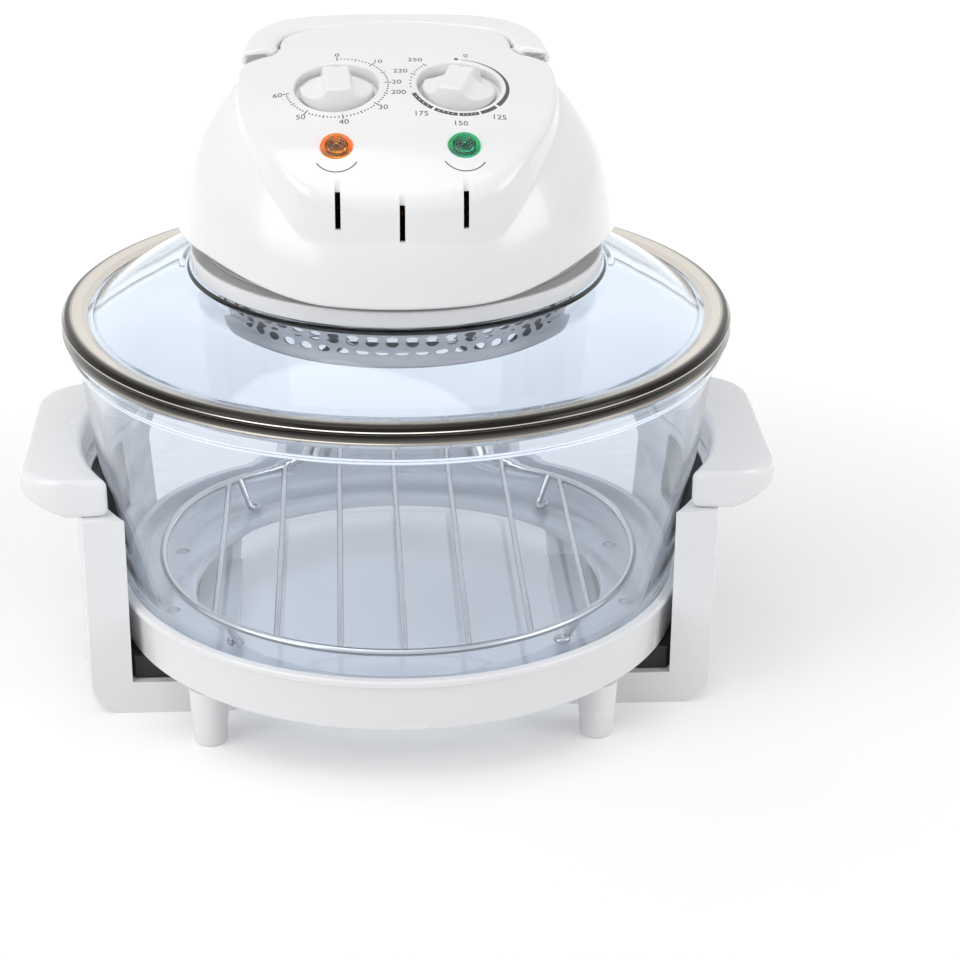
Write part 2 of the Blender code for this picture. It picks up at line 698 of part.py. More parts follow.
def make_screws():
    """The screws that hold the ring and straps down to the bracket arms."""
    head_top = RING_FLOOR_TOP - GAP
    head_base = head_top - SCREW_HEAD_HEIGHT
    tip = ARM_HEIGHT - SCREW_BITE
    profile = [(0, tip), (SCREW_SHANK, tip), (SCREW_SHANK, head_base), (SCREW_HEAD, head_base),
               (SCREW_HEAD, head_top - SCREW_HEAD_HEIGHT / 3),
               (SCREW_HEAD * 2 / 3, head_top), (0, head_top)]
    for x, y in screw_places():
        depth_name = "front" if y < 0 else "rear"
        screw = turned(f"strap_screw_{depth_name}_{side_name(x)}", profile, sheet_steel, steps=SMALL_TURN)
        screw.location = (x, y, 0)


# Bowl and rack
def make_bowl():
    """The glass bowl: a flat foot, a flaring side and a thick rolled rim that the lid rests on."""
    outside = bowl_side_points()
    inside = [(radius - BOWL_WALL, max(height, BOWL_INSIDE)) for radius, height in outside[1:]]
    inside = [(BOWL_FOOT_RADIUS - BOWL_WALL, BOWL_INSIDE)] + inside[1:]
    rim_base = BOWL_TOP - BOWL_RIM_HEIGHT
    rim_round = BOWL_RIM_HEIGHT / 4
    rim = [(BOWL_RIM_RADIUS - rim_round, rim_base), (BOWL_RIM_RADIUS, rim_base + rim_round),
           (BOWL_RIM_RADIUS, BOWL_TOP - rim_round), (BOWL_RIM_RADIUS - rim_round, BOWL_TOP),
           (BOWL_RIM_RADIUS - BOWL_RIM_WIDTH, BOWL_TOP)]
    profile = [(0, BOWL_BASE)] + outside + rim + list(reversed(inside)) + [(0, BOWL_INSIDE)]
    turned("glass_bowl", profile, glass)


def wire(start, end, radius):
    """A straight six-sided wire between two points."""
    start, end = Vector(start), Vector(end)
    along = end - start
    edit = turn_profile(drum_profile(radius, 0, along.length), 6)
    bmesh.ops.remove_doubles(edit, verts=edit.verts, dist=MERGE)
    return moved(edit, Matrix.Translation(start) @ along.to_track_quat("Z", "Y").to_matrix().to_4x4())


def make_rack():
    """The low wire rack: a ring, parallel cross wires and short legs, all welded."""
    level = BOWL_INSIDE + GAP + RACK_HEIGHT
    ring_radius = bowl_radius_at(level) - BOWL_WALL - RACK_SIDE_SPACE
    ring_profile = [(ring_radius + x, level + z) for x, z in arc((0, 0), RACK_WIRE, 0, 360 - 60, 6)]
    rack = turned("wire_rack", ring_profile, wire_steel, steps=ROUND_TURN + SMALL_TURN)
    pitch = 2 * ring_radius / (RACK_CROSS_WIRES + 1)
    for index in range(RACK_CROSS_WIRES):
        x = -ring_radius + (index + 1) * pitch
        reach = sqrt(ring_radius ** 2 - x ** 2)
        bar = wire((x, -reach, level), (x, reach, level), RACK_WIRE * 4 / 5)
        weld(rack, as_object("rack cross wire", bar, wire_steel))
    leg_wire = RACK_WIRE * 9 / 10
    foot_radius = BOWL_FOOT_RADIUS - BOWL_WALL - 2 * RACK_WIRE
    lean = np.arctan2(ring_radius - foot_radius, RACK_HEIGHT)
    foot = BOWL_INSIDE + GAP + leg_wire * sin(lean)
    for index in range(RACK_LEGS):
        angle = 2 * pi * (index + 1 / 2) / RACK_LEGS
        x, y = ring_radius * cos(angle), ring_radius * sin(angle)
        inward = foot_radius / ring_radius
        leg = wire((x * inward, y * inward, foot), (x, y, level), leg_wire)
        weld(rack, as_object("rack leg", leg, wire_steel))


# Lid
def lid_surface():
    """The lid glass's top as (radius, height), from its edge to the step under the collar."""
    edge_radius = BAND_INNER - BAND_SKIN
    rise = LID_RISE - LID_STEP
    points = []
    for out_share, rise_share in zip(LID_CURVE_SHARES, LID_RISE_SHARES):
        radius = edge_radius + out_share * (LID_STEP_RADIUS + LID_STEP - edge_radius)
        points.append((radius, LID_EDGE_TOP + rise_share * rise))
    return points


def make_lid_glass():
    """The domed lid glass: a flat edge, a small step under the collar and a round hole for the heater."""
    top = lid_surface()
    edge = BAND_RADIUS - BAND_SKIN - 2 * GAP - BAND_ROUND
    under = [(radius - LID_WALL / 4, height - LID_WALL) for radius, height in top]
    profile = ([(edge, LID_EDGE_BASE), (edge, LID_EDGE_TOP)] + top + [(LID_STEP_RADIUS, LID_HOLE_TOP)]
               + [(LID_HOLE, LID_HOLE_TOP), (LID_HOLE, LID_HOLE_BASE)]
               + [(LID_STEP_RADIUS - LID_STEP, LID_HOLE_BASE)] + list(reversed(under)))
    turned("glass_lid", profile, glass)


def make_band():
    """The polished band folded round the lid's edge: flat lip below, round shoulder, rolled lip above."""
    low, high, skin = BAND_BASE, BAND_TOP, BAND_SKIN
    lip_end = LID_EDGE_TOP + GAP + skin
    crest = BAND_RADIUS - 2 * BAND_ROUND
    fold, fold_drop = crest - 2 * BAND_ROUND, BAND_ROUND / 5
    edge, corner = BAND_RADIUS, BAND_ROUND / 2
    outer = [(BAND_INNER + BAND_ROUND, low), (edge - corner, low), (edge, low + corner),
             (edge, high - BAND_ROUND), (crest, high), (fold, high - fold_drop), (BAND_INNER, lip_end)]
    inner = [(BAND_INNER, lip_end - skin), (fold, high - fold_drop - skin), (crest, high - skin),
             (edge - skin, high - BAND_ROUND - skin / 2), (edge - skin, low + corner + skin / 2),
             (edge - corner - skin / 2, low + skin), (BAND_INNER + BAND_ROUND, low + skin)]
    turned("lid_band", outer + inner, chrome)


def make_collar():
    """The white collar that rests on the lid glass round its hole."""
    low, high, soft = COLLAR_BASE, COLLAR_TOP, COLLAR_ROUND
    profile = [(COLLAR_INNER, low), (COLLAR_RADIUS - soft / 2, low), (COLLAR_RADIUS, low + soft),
               (COLLAR_RADIUS, high - soft), (COLLAR_RADIUS - soft, high), (COLLAR_INNER, high)]
    turned("collar_ring", profile, plastic)


def clamp_places():
    """Where the clamp screws are in plan."""
    angles = [90 + 360 * index / CLAMP_SCREWS for index in range(CLAMP_SCREWS)]
    return [(CLAMP_CIRCLE * cos(radians(angle)), CLAMP_CIRCLE * sin(radians(angle))) for angle in angles]


def make_tray():
    """The head's base: a floor on the collar, a vented wall and a rim that carries the cover."""
    rim = bell_radius_at(TRAY_TOP, BELL_WALL) - GAP
    low, high, floor = TRAY_BASE, TRAY_TOP, TRAY_FLOOR_TOP
    inner = TRAY_RADIUS - TRAY_WALL
    foot = TRAY_RADIUS + TRAY_WALL
    profile = [(TRAY_EYE, low), (foot, low), (foot, low + TRAY_FLOOR / 2), (TRAY_RADIUS, floor),
               (TRAY_RADIUS, high - TRAY_FLANGE), (rim, high - TRAY_FLANGE), (rim, high), (inner, high),
               (inner, floor), (TRAY_EYE, floor)]
    tray = turned("head_base", profile, shade_plastic)
    vents = []
    vent_low = floor + VENT_SILL
    for side in (-1, 1):
        for index in range(VENT_COUNT):
            angle = side * (VENT_FIRST_ANGLE + index * VENT_STEP_ANGLE)
            edit = bmesh.new()
            bmesh.ops.create_cube(edit, size=1.0)
            bmesh.ops.scale(edit, vec=(VENT_WIDTH, 4 * TRAY_WALL, VENT_HEIGHT), verts=edit.verts)
            centre = (0, TRAY_WALL / 2 - TRAY_RADIUS, vent_low + VENT_HEIGHT / 2)
            bmesh.ops.translate(edit, vec=centre, verts=edit.verts)
            vents.append(turned_about_z(edit, angle))
    cut(tray, joined_meshes("vent slots", vents, plastic))
    hole = drum_profile(CLAMP_SHANK + GAP, low - OVERRUN, floor + OVERRUN)
    cut(tray, standing_cutters("tray screw holes", hole, clamp_places()))


def edge_wave(angle):
    """How far the cover's lower edge has risen at an angle from the front, in degrees."""
    off_front = min(abs(angle), 360 - abs(angle))
    share = (off_front - BELL_WAVE_START_ANGLE) / (BELL_WAVE_END_ANGLE - BELL_WAVE_START_ANGLE)
    share = min(max(share, 0.0), 1.0)
    return BELL_EDGE_WAVE * share * share * (3 - 2 * share)


def bell_radius_at(height, inset=0.0, angle=0.0):
    """The cover's radius at a height and at an angle from the front, outside or an inset further in."""
    depth = BELL_TOP - BELL_EDGE - edge_wave(angle)
    share = (BELL_TOP - inset - height) / (depth - inset)
    return float(np.interp(share, BELL_DROP_SHARES, BELL_RADIUS_SHARES)) * BELL_RADIUS - inset


def bell_solid(name, inset, overrun):
    """The cover's bell as a solid: rings of a side profile that stretch down to the wavy lower edge."""
    steps = FINE_TURN
    sections = []
    for radius_share, drop_share in reversed(list(zip(BELL_RADIUS_SHARES, BELL_DROP_SHARES))):
        ring = []
        for step in range(steps):
            angle = -180 + 360 * step / steps
            depth = BELL_TOP - BELL_EDGE - edge_wave(angle)
            radius = radius_share * BELL_RADIUS - inset
            height = BELL_TOP - inset - drop_share * (depth - inset)
            ring.append((radius * sin(radians(angle)), -radius * cos(radians(angle)), height))
        sections.append(ring)
    if overrun:
        sections.insert(0, [(x, y, BELL_EDGE - overrun) for x, y, z in sections[0]])
    edit = loft(sections)
    edit.faces.ensure_lookup_table()
    bmesh.ops.poke(edit, faces=[edit.faces[-2]])
    return as_object(name, edit, plastic)


def panel_height(x, y):
    """The height of the control panel's top at a place in plan."""
    share = (PANEL_BACK - y) / (PANEL_BACK + PANEL_FRONT)
    fall = PANEL_FALL * float(np.interp(share, PANEL_PROFILE_SHARES, PANEL_FALL_SHARES))
    return PANEL_TOP - fall - PANEL_CROWN_DROP * (x / PANEL_HALF_WIDTH) ** 2


def panel_outline():
    """The panel's shield outline in plan, from the front tip round the right side and back on the left."""
    right = [(width * PANEL_HALF_WIDTH, -reach * PANEL_FRONT)
             for width, reach in zip(PANEL_FRONT_WIDTH_SHARES, PANEL_FRONT_REACH_SHARES)]
    right += [(width * PANEL_HALF_WIDTH, reach * PANEL_BACK)
              for width, reach in zip(PANEL_BACK_WIDTH_SHARES, PANEL_BACK_REACH_SHARES)]
    return right + mirrored(right)


def offset_outline(outline, distance):
    """An outline moved inward by a distance along the mean of the normals beside each corner."""
    points = np.array(outline)
    edges = np.roll(points, -1, axis=0) - points
    normals = np.stack([-edges[:, 1], edges[:, 0]], axis=1)
    normals /= np.linalg.norm(normals, axis=1, keepdims=True)
    mean = normals + np.roll(normals, 1, axis=0)
    mean /= np.linalg.norm(mean, axis=1, keepdims=True)
    return [tuple(point) for point in points + mean * distance]


def panel_solid(name, inset, edge):
    """The panel as a solid: its outline carried up to the crowned top, which closes over smaller rings."""
    outline = offset_outline(panel_outline(), inset) if inset else panel_outline()
    root = BELL_TOP - PANEL_ROOT
    centre_y = (PANEL_BACK - PANEL_FRONT) / 2
    sections = [[(x, y, root) for x, y in outline],
                [(x, y, panel_height(x, y) - inset - edge) for x, y in outline]]
    top = offset_outline(outline, edge)
    for share in reversed(PANEL_RING_SHARES):
        ring = [(x * share, centre_y + (y - centre_y) * share) for x, y in top]
        sections.append([(x, y, panel_height(x, y) - inset) for x, y in ring])
    return as_object(name, loft(sections), plastic)


def dial_frame(x):
    """Where a dial's axis meets the panel's surface, with Z along the axis."""
    return upright((x, DIAL_Y, panel_height(DIAL_X, DIAL_Y)), DIAL_TILT)


def lamp_frame(x):
    """Where a lamp's axis meets the panel's surface, with Z along the axis."""
    return upright((x, LAMP_Y, panel_height(LAMP_X, LAMP_Y)), LAMP_TILT)


def gland_frame():
    """Where the cord gland leaves the cover's back, with Z pointing out of the cover."""
    height = TRAY_TOP + GLAND_RISE
    reach = bell_radius_at(height, angle=180)
    return Matrix.Translation((0, reach, height)) @ Matrix.Rotation(radians(GLAND_TILT - 90), 4, "X")


def guide_drum(name, frame, radius, low, high, steps=SMALL_TURN):
    """A round cutter along a frame's Z axis."""
    drum = turned(name, drum_profile(radius, low, high), plastic, steps=steps)
    drum.matrix_world = frame
    return drum


def scoop_guide(name, grow):
    """The finger scoop under the handle's bar, as a flattened ball."""
    edit = bmesh.new()
    bmesh.ops.create_uvsphere(edit, u_segments=14, v_segments=8, radius=1.0)
    size = (SCOOP_WIDTH + grow, SCOOP_LENGTH + grow, SCOOP_DEPTH + grow)
    bmesh.ops.scale(edit, vec=size, verts=edit.verts)
    bmesh.ops.translate(edit, vec=(0, (PANEL_BACK + HANDLE_BACK) / 2, BELL_TOP), verts=edit.verts)
    return as_object(name, edit, plastic)


def slot_guide(name, x, high, length):
    """A narrow upright cutter through the panel's front wall."""
    wall_y = np.interp(abs(x), np.array(PANEL_FRONT_WIDTH_SHARES) * PANEL_HALF_WIDTH,
                       np.array(PANEL_FRONT_REACH_SHARES) * PANEL_FRONT)
    top = BELL_TOP - high
    return block(name, (SLOT_WIDTH, SLOT_DEPTH, length), (x, -wall_y, top - length / 2), plastic)


def make_cover():
    """The head's cover: a hollow bell with a wavy edge and a raised, shield-shaped control panel."""
    cover = bell_solid("head_cover", 0.0, 0.0)
    weld(cover, panel_solid("panel form", 0.0, PANEL_WALL / 2))
    hollow = bell_solid("cover hollow", BELL_WALL, OVERRUN)
    weld(hollow, panel_solid("panel hollow", PANEL_WALL, PANEL_WALL / 2))
    cut(hollow, scoop_guide("scoop wall", BELL_WALL))
    for x in (-DIAL_X, DIAL_X):
        cut(hollow, guide_drum("dial cup wall", dial_frame(x), DIAL_RECESS + PANEL_WALL,
                               -DIAL_RECESS_DEPTH - PANEL_WALL, DIAL_RECESS_DEPTH, ROUND_TURN))
    cut(cover, hollow, scoop_guide("finger scoop", 0.0))
    depth = DIAL_RECESS_DEPTH
    for x in (-DIAL_X, DIAL_X):
        frame = dial_frame(x)
        cut(cover, guide_drum("dial recess", frame, DIAL_RECESS, -depth, DIAL_RECESS, ROUND_TURN))
        cut(cover, guide_drum("dial stem hole", frame, KNOB_STEM + GAP, -2 * depth, depth))
    for x in (-LAMP_X, LAMP_X):
        frame, lens = lamp_frame(x), LAMP_RADIUS + GAP
        cut(cover, guide_drum("lamp seat", frame, lens, -LAMP_SEAT, lens, ROUND_TURN // 2))
        cut(cover, guide_drum("lamp hole", frame, LAMP_NECK + GAP, -2 * PANEL_WALL, PANEL_WALL))
    for x in (-SLOT_SPACING, SLOT_SPACING):
        cut(cover, slot_guide("side slot", x, SLOT_SIDE_HIGH, SLOT_SIDE_LENGTH))
    cut(cover, slot_guide("middle slot", 0, SLOT_MIDDLE_HIGH, SLOT_MIDDLE_LENGTH))
    for side in (-1, 1):
        cut(cover, guide_drum("pin hole", pin_frame(side), PIN_RADIUS + GAP, -2 * PIN_IN_PANEL, 0))
    add_plunger_boss(cover)
    cut(cover, guide_drum("gland hole", gland_frame(), GLAND_RADIUS + GAP, -GLAND_INSIDE, GLAND_INSIDE))


def add_plunger_boss(cover):
    """The round boss under the cover that guides the plunger and carries the switch below it."""
    frame = upright(plunger_place())
    well_top = PLUNGER_HEAD_THICK + PLUNGER_TRAVEL + GAP - PLUNGER_LENGTH
    well = PLUNGER_HEAD + GAP
    boss = guide_drum("plunger boss", frame, well + PLUNGER_BOSS_WALL, -PLUNGER_LENGTH, OVERRUN)
    combine(boss, bell_solid("boss ceiling", BELL_WALL / 2, OVERRUN), "INTERSECT")
    weld(cover, boss)
    cut(cover, guide_drum("plunger well", frame, well, -PLUNGER_LENGTH - OVERRUN, well_top))
    cut(cover, guide_drum("plunger hole", frame, PLUNGER_RADIUS + GAP, -PLUNGER_LENGTH, OVERRUN))


# Handle and its switch
def handle_inner_points():
    """The right half of the handle's inner edge, a seam away from the panel's back."""
    around = offset_outline(panel_outline(), -HANDLE_SEAM)
    right = [(x, y) for x, y in around if x > GAP and y > 0]
    corner = float(np.interp(HANDLE_FRONT, [y for x, y in right], [x for x, y in right]))
    side = [(x, y) for x, y in right if y > HANDLE_FRONT + HANDLE_SEAM]
    return [(corner, HANDLE_FRONT)] + side + [(0, PANEL_BACK + HANDLE_SEAM)]


def handle_outer_points():
    """The right half of the handle's outer edge."""
    return [(width * PANEL_HALF_WIDTH, reach * HANDLE_BACK)
            for width, reach in zip(HANDLE_WIDTH_SHARES, HANDLE_REACH_SHARES)]


def pin_frame(side):
    """A pivot pin's place at the handle arm's inner face, with Z pointing into the arm."""
    x = x_at(handle_inner_points(), PIVOT_Y)
    turn = Matrix.Rotation(radians(90 * side), 4, "Y")
    return Matrix.Translation((side * x, PIVOT_Y, PIVOT_Z)) @ turn


def plunger_place():
    """Where the switch's plunger meets the underside of the right arm, midway across it."""
    inner = x_at(handle_inner_points(), PLUNGER_Y)
    outer = x_at(handle_outer_points()[:4], PLUNGER_Y)
    return Vector(((inner + outer) / 2, PLUNGER_Y, HANDLE_BASE - GAP))


def make_handle():
    """The bail that lies round the back of the panel and swings up on two pins."""
    outer = handle_outer_points()
    inner = handle_inner_points()
    right = outer + [(-x, y) for x, y in reversed(outer[:-1])]
    left = [(-x, y) for x, y in inner] + list(reversed(inner[:-1]))

    def top(x, y):
        return HANDLE_BASE + HANDLE_THICK - HANDLE_CROWN_DROP * (x / PANEL_HALF_WIDTH) ** 2

    outline = right + left
    edit = loft([[(x, y, HANDLE_BASE) for x, y in outline], [(x, y, top(x, y)) for x, y in outline]])
    front = [edge for edge in edit.edges if all(abs(point.co.y - HANDLE_FRONT) < GAP for point in edge.verts)
             and abs(edge.verts[0].co.x - edge.verts[1].co.x) > HANDLE_SEAM]
    bmesh.ops.bevel(edit, geom=front, offset=HANDLE_END_ROUND, segments=3, affect="EDGES", profile=0.5)
    handle = as_object("lid_handle", edit, plastic)
    soften(handle, HANDLE_ROUND, angle=55.0)
    hole_end = PIN_IN_ARM + GAP
    for side in (-1, 1):
        cut(handle, guide_drum("arm hole", pin_frame(side), PIN_RADIUS + GAP, -HANDLE_SEAM, hole_end))
    move_origin(handle, (0, PIVOT_Y, PIVOT_Z))
    shape = drum_profile(PIN_RADIUS, -PIN_IN_PANEL - HANDLE_SEAM, PIN_IN_ARM)
    for side in (-1, 1):
        pin = turned(f"handle_pin_{side_name(side)}", shape, sheet_steel, steps=SMALL_TURN)
        pin.matrix_world = pin_frame(side)


def move_origin(piece, place):
    """Puts a piece's origin at a place without moving the piece."""
    piece.data.transform(Matrix.Translation(-Vector(place)))
    piece.location = place


def make_safety_switch():
    """The switch that the folded handle's right arm presses through a plunger."""
    length, head = PLUNGER_LENGTH, PLUNGER_HEAD_THICK
    profile = [(0, 0), (PLUNGER_HEAD, 0), (PLUNGER_HEAD, head), (PLUNGER_RADIUS, head),
               (PLUNGER_RADIUS, length - PLUNGER_RADIUS / 2), (PLUNGER_RADIUS / 2, length), (0, length)]
    place = plunger_place() - Vector((0, 0, length))
    plunger = turned("switch_plunger", profile, dark_plastic, steps=SMALL_TURN)
    plunger.location = place
    body = block("safety_switch", (SWITCH_LENGTH, SWITCH_WIDTH, SWITCH_HEIGHT),
                 place - Vector((SWITCH_SHIFT, 0, GAP + SWITCH_HEIGHT / 2)), dark_plastic)
    soften(body, GAP * 2, segments=1)


# Dials and lamps
def make_knob(name, x):
    """A dial knob: a disc in the panel's recess, a grip bar across it and a stem behind it."""
    base = KNOB_SEAT - DIAL_RECESS_DEPTH
    disc_top = base + KNOB_DISC
    stem_end, soft = base - KNOB_STEM_LENGTH, KNOB_DISC / 4
    profile = [(0, stem_end), (KNOB_STEM, stem_end), (KNOB_STEM, base), (KNOB_RADIUS, base),
               (KNOB_RADIUS, disc_top - soft), (KNOB_RADIUS - soft, disc_top), (0, disc_top)]
    knob = turned(name, profile, knob_plastic, steps=ROUND_TURN)
    outline = (arc((0, KNOB_GRIP_LENGTH - KNOB_GRIP_WIDTH), KNOB_GRIP_WIDTH, 0, 180, 7)
               + arc((0, KNOB_GRIP_WIDTH - KNOB_GRIP_LENGTH), KNOB_GRIP_WIDTH, 180, 360, 7))
    top_share = 1 - KNOB_GRIP_NOTCH / KNOB_GRIP_WIDTH
    grip_top = disc_top + KNOB_GRIP_HEIGHT
    sections = [[(px, py, base + KNOB_DISC / 2) for px, py in outline],
                [(px, py, grip_top - KNOB_GRIP_NOTCH) for px, py in outline],
                [(px * top_share, py * top_share, grip_top) for px, py in outline]]
    grip = as_object(f"{name} grip", loft(sections), knob_plastic)
    grip.matrix_world = dial_frame(x)
    knob.matrix_world = dial_frame(x)
    weld(knob, grip)


def make_timer():
    """The timer's body behind the left dial."""
    frame = dial_frame(-DIAL_X)
    top = -DIAL_RECESS_DEPTH - PANEL_WALL - GAP
    size = (TIMER_WIDTH, TIMER_LENGTH, TIMER_DEPTH)
    body = block("timer_body", size, (0, 0, top - TIMER_DEPTH / 2), sheet_steel)
    body.matrix_world = frame
    soften(body, KNOB_GRIP_NOTCH, segments=1)
    bore_floor = -DIAL_RECESS_DEPTH - KNOB_STEM_LENGTH
    cut(body, guide_drum("timer bore", frame, KNOB_STEM + GAP, bore_floor, 0))


def make_thermostat():
    """The thermostat's body behind the right dial."""
    frame = dial_frame(DIAL_X)
    top = -DIAL_RECESS_DEPTH - PANEL_WALL - GAP
    low = top - THERMOSTAT_DEPTH
    bore = KNOB_STEM + GAP
    bore_floor = -DIAL_RECESS_DEPTH - KNOB_STEM_LENGTH
    soft = THERMOSTAT_RADIUS / 10
    profile = [(0, low), (THERMOSTAT_RADIUS - soft, low), (THERMOSTAT_RADIUS, low + soft),
               (THERMOSTAT_RADIUS, top), (bore, top), (bore, bore_floor), (0, bore_floor)]
    body = turned("thermostat_body", profile, ceramic, steps=ROUND_TURN // 2)
    body.matrix_world = frame


def make_lamp(name, x, finish):
    """A round lens in its seat on the panel and the lamp holder behind it."""
    frame = lamp_frame(x)
    seat = GAP - LAMP_SEAT
    neck_low = seat - LAMP_NECK_LENGTH
    proud = LAMP_PROUD
    profile = [(0, neck_low), (LAMP_NECK, neck_low), (LAMP_NECK, seat), (LAMP_RADIUS, seat),
               (LAMP_RADIUS, proud / 3), (LAMP_RADIUS * 5 / 6, proud * 3 / 4), (LAMP_RADIUS * 2 / 3, proud),
               (LAMP_RADIUS / 2, proud), (LAMP_RADIUS / 3, proud * 4 / 3), (0, proud * 3 / 2)]
    lens = turned(f"{name}_lamp_lens", profile, finish, steps=ROUND_TURN // 2)
    lens.matrix_world = frame
    holder_top = neck_low - GAP
    shape = drum_profile(LAMP_NECK, holder_top - LAMP_HOLDER_LENGTH, holder_top)
    holder = turned(f"{name}_lamp_holder", shape, dark_plastic, steps=SMALL_TURN)
    holder.matrix_world = frame


# Heater
def make_reflector():
    """The spun pan above the heater: a flange under the glass, a wall through its hole and a flat top."""
    outer = LID_HOLE - PAN_WALL_SPACE
    inner = outer - PAN_SKIN
    flange = PAN_FLANGE_TOP - PAN_SKIN
    profile = [(PAN_EYE, PAN_CEILING), (inner, PAN_CEILING), (inner, flange), (PAN_FLANGE, flange),
               (PAN_FLANGE, PAN_FLANGE_TOP), (outer, PAN_FLANGE_TOP), (outer, PAN_TOP), (PAN_EYE, PAN_TOP)]
    pan = turned("reflector_pan", profile, sheet_steel, steps=ROUND_TURN)
    hole = drum_profile(CLAMP_SHANK + GAP, PAN_CEILING - OVERRUN, PAN_TOP + OVERRUN)
    cut(pan, standing_cutters("pan screw holes", hole, clamp_places()))


def ring_window(inner, outer, start, end):
    """A closed outline between two arcs in plan."""
    return arc((0, 0), outer, start, end, 4) + arc((0, 0), inner, end, start, 4)


def make_guard():
    """The guard below the heater: a shallow cup with round holes in its side and windows in its floor."""
    top, skin = GUARD_TOP, GUARD_SKIN
    floor_top = GUARD_FLOOR + skin
    outside = [(0, GUARD_FLOOR), (GUARD_FOOT, GUARD_FLOOR), (GUARD_WALL_RADIUS, top - skin),
               (PAN_FLANGE, top - skin), (PAN_FLANGE, top)]
    inside = [(GUARD_WALL_RADIUS - skin, top), (GUARD_FOOT - skin, floor_top), (0, floor_top)]
    guard = turned("heater_guard", outside + inside, sheet_steel, steps=ROUND_TURN)
    middle = (top + GUARD_FLOOR) / 2
    sides = []
    for index in range(GUARD_HOLES):
        angle = 360 * index / GUARD_HOLES
        edit = turn_profile(drum_profile(GUARD_HOLE, GUARD_FOOT - OVERRUN, PAN_FLANGE), 6)
        bmesh.ops.remove_doubles(edit, verts=edit.verts, dist=MERGE)
        moved(edit, Matrix.Translation((0, 0, middle)) @ Matrix.Rotation(radians(90), 4, "Y"))
        sides.append(turned_about_z(edit, angle))
    cut(guard, joined_meshes("guard side holes", sides, sheet_steel))
    windows = []
    for share in GUARD_RING_SHARES:
        ring_inner = share * GUARD_FOOT
        ring_outer = ring_inner + GUARD_SLOT
        margin = degrees(GUARD_SPOKE_WIDTH / (ring_inner + ring_outer))
        for spoke in range(GUARD_SPOKES):
            start = spoke * 360 / GUARD_SPOKES + margin
            end = (spoke + 1) * 360 / GUARD_SPOKES - margin
            outline = ring_window(ring_inner, ring_outer, start, end)
            windows.append(loft([[(x, y, GUARD_FLOOR - skin) for x, y in outline],
                                 [(x, y, floor_top + skin) for x, y in outline]]))
    cut(guard, joined_meshes("guard floor windows", windows, sheet_steel))


def make_tube():
    """The ring-shaped halogen tube, open at the back, and the ceramic holders at its two ends."""
    start, end = 90 + TUBE_GAP_ANGLE, 450 - TUBE_GAP_ANGLE
    section = [Vector((x, 0, z)) for x, z in arc((TUBE_CIRCLE, TUBE_Z), TUBE_RADIUS, 0, 315, 8)]
    sections = []
    for angle in np.linspace(start, end, ROUND_TURN - 4):
        turn = Matrix.Rotation(radians(angle), 4, "Z")
        sections.append([turn @ point for point in section])
    as_object("halogen_tube", loft(sections), quartz)
    half = degrees(np.arcsin((HOLDER_LENGTH / 2 + GAP) / (TUBE_CIRCLE - TUBE_RADIUS)))
    high = PAN_CEILING - GAP
    low = TUBE_Z - HOLDER_WIDTH / 2
    for side in (-1, 1):
        holder = block(f"tube_holder_{side_name(-side)}", (HOLDER_WIDTH, HOLDER_LENGTH, high - low),
                       (TUBE_CIRCLE, 0, (high + low) / 2), ceramic)
        holder.rotation_euler = (0, 0, radians(90 + side * (TUBE_GAP_ANGLE - half)))


def make_shield_and_clamps():
    """The heat shield on the tray's floor and the screws that clamp pan, glass and tray together."""
    disc = tube_profile(TRAY_EYE, SHIELD_RADIUS, SHIELD_BASE, SHIELD_TOP)
    turned("heat_shield", disc, aluminium, steps=ROUND_TURN)
    head_top = PAN_CEILING - GAP
    head_low = head_top - CLAMP_HEAD_HEIGHT
    tip = head_top + CLAMP_LENGTH
    profile = [(0, head_low), (CLAMP_HEAD * 2 / 3, head_low), (CLAMP_HEAD, head_low + CLAMP_HEAD_HEIGHT / 2),
               (CLAMP_HEAD, head_top), (CLAMP_SHANK, head_top), (CLAMP_SHANK, tip), (0, tip)]
    for index, (x, y) in enumerate(clamp_places()):
        screw = turned(f"clamp_screw_{index + 1}", profile, sheet_steel, steps=SMALL_TURN)
        screw.location = (x, y, 0)


# Fan motor
def blade_ring(name, radius, hub, low, high, count, lean):
    """Upright blades from a hub to a radius, each leaning off the radial direction."""
    edits = []
    for index in range(count):
        edit = bmesh.new()
        bmesh.ops.create_cube(edit, size=1.0)
        length = radius - hub
        bmesh.ops.scale(edit, vec=(length, BLADE_THICK, high - low), verts=edit.verts)
        moved(edit, Matrix.Rotation(radians(lean), 4, "Z"))
        bmesh.ops.translate(edit, vec=(hub + length / 2, 0, (high + low) / 2), verts=edit.verts)
        edits.append(turned_about_z(edit, 360 * index / count))
    return joined_meshes(name, edits, sheet_steel)


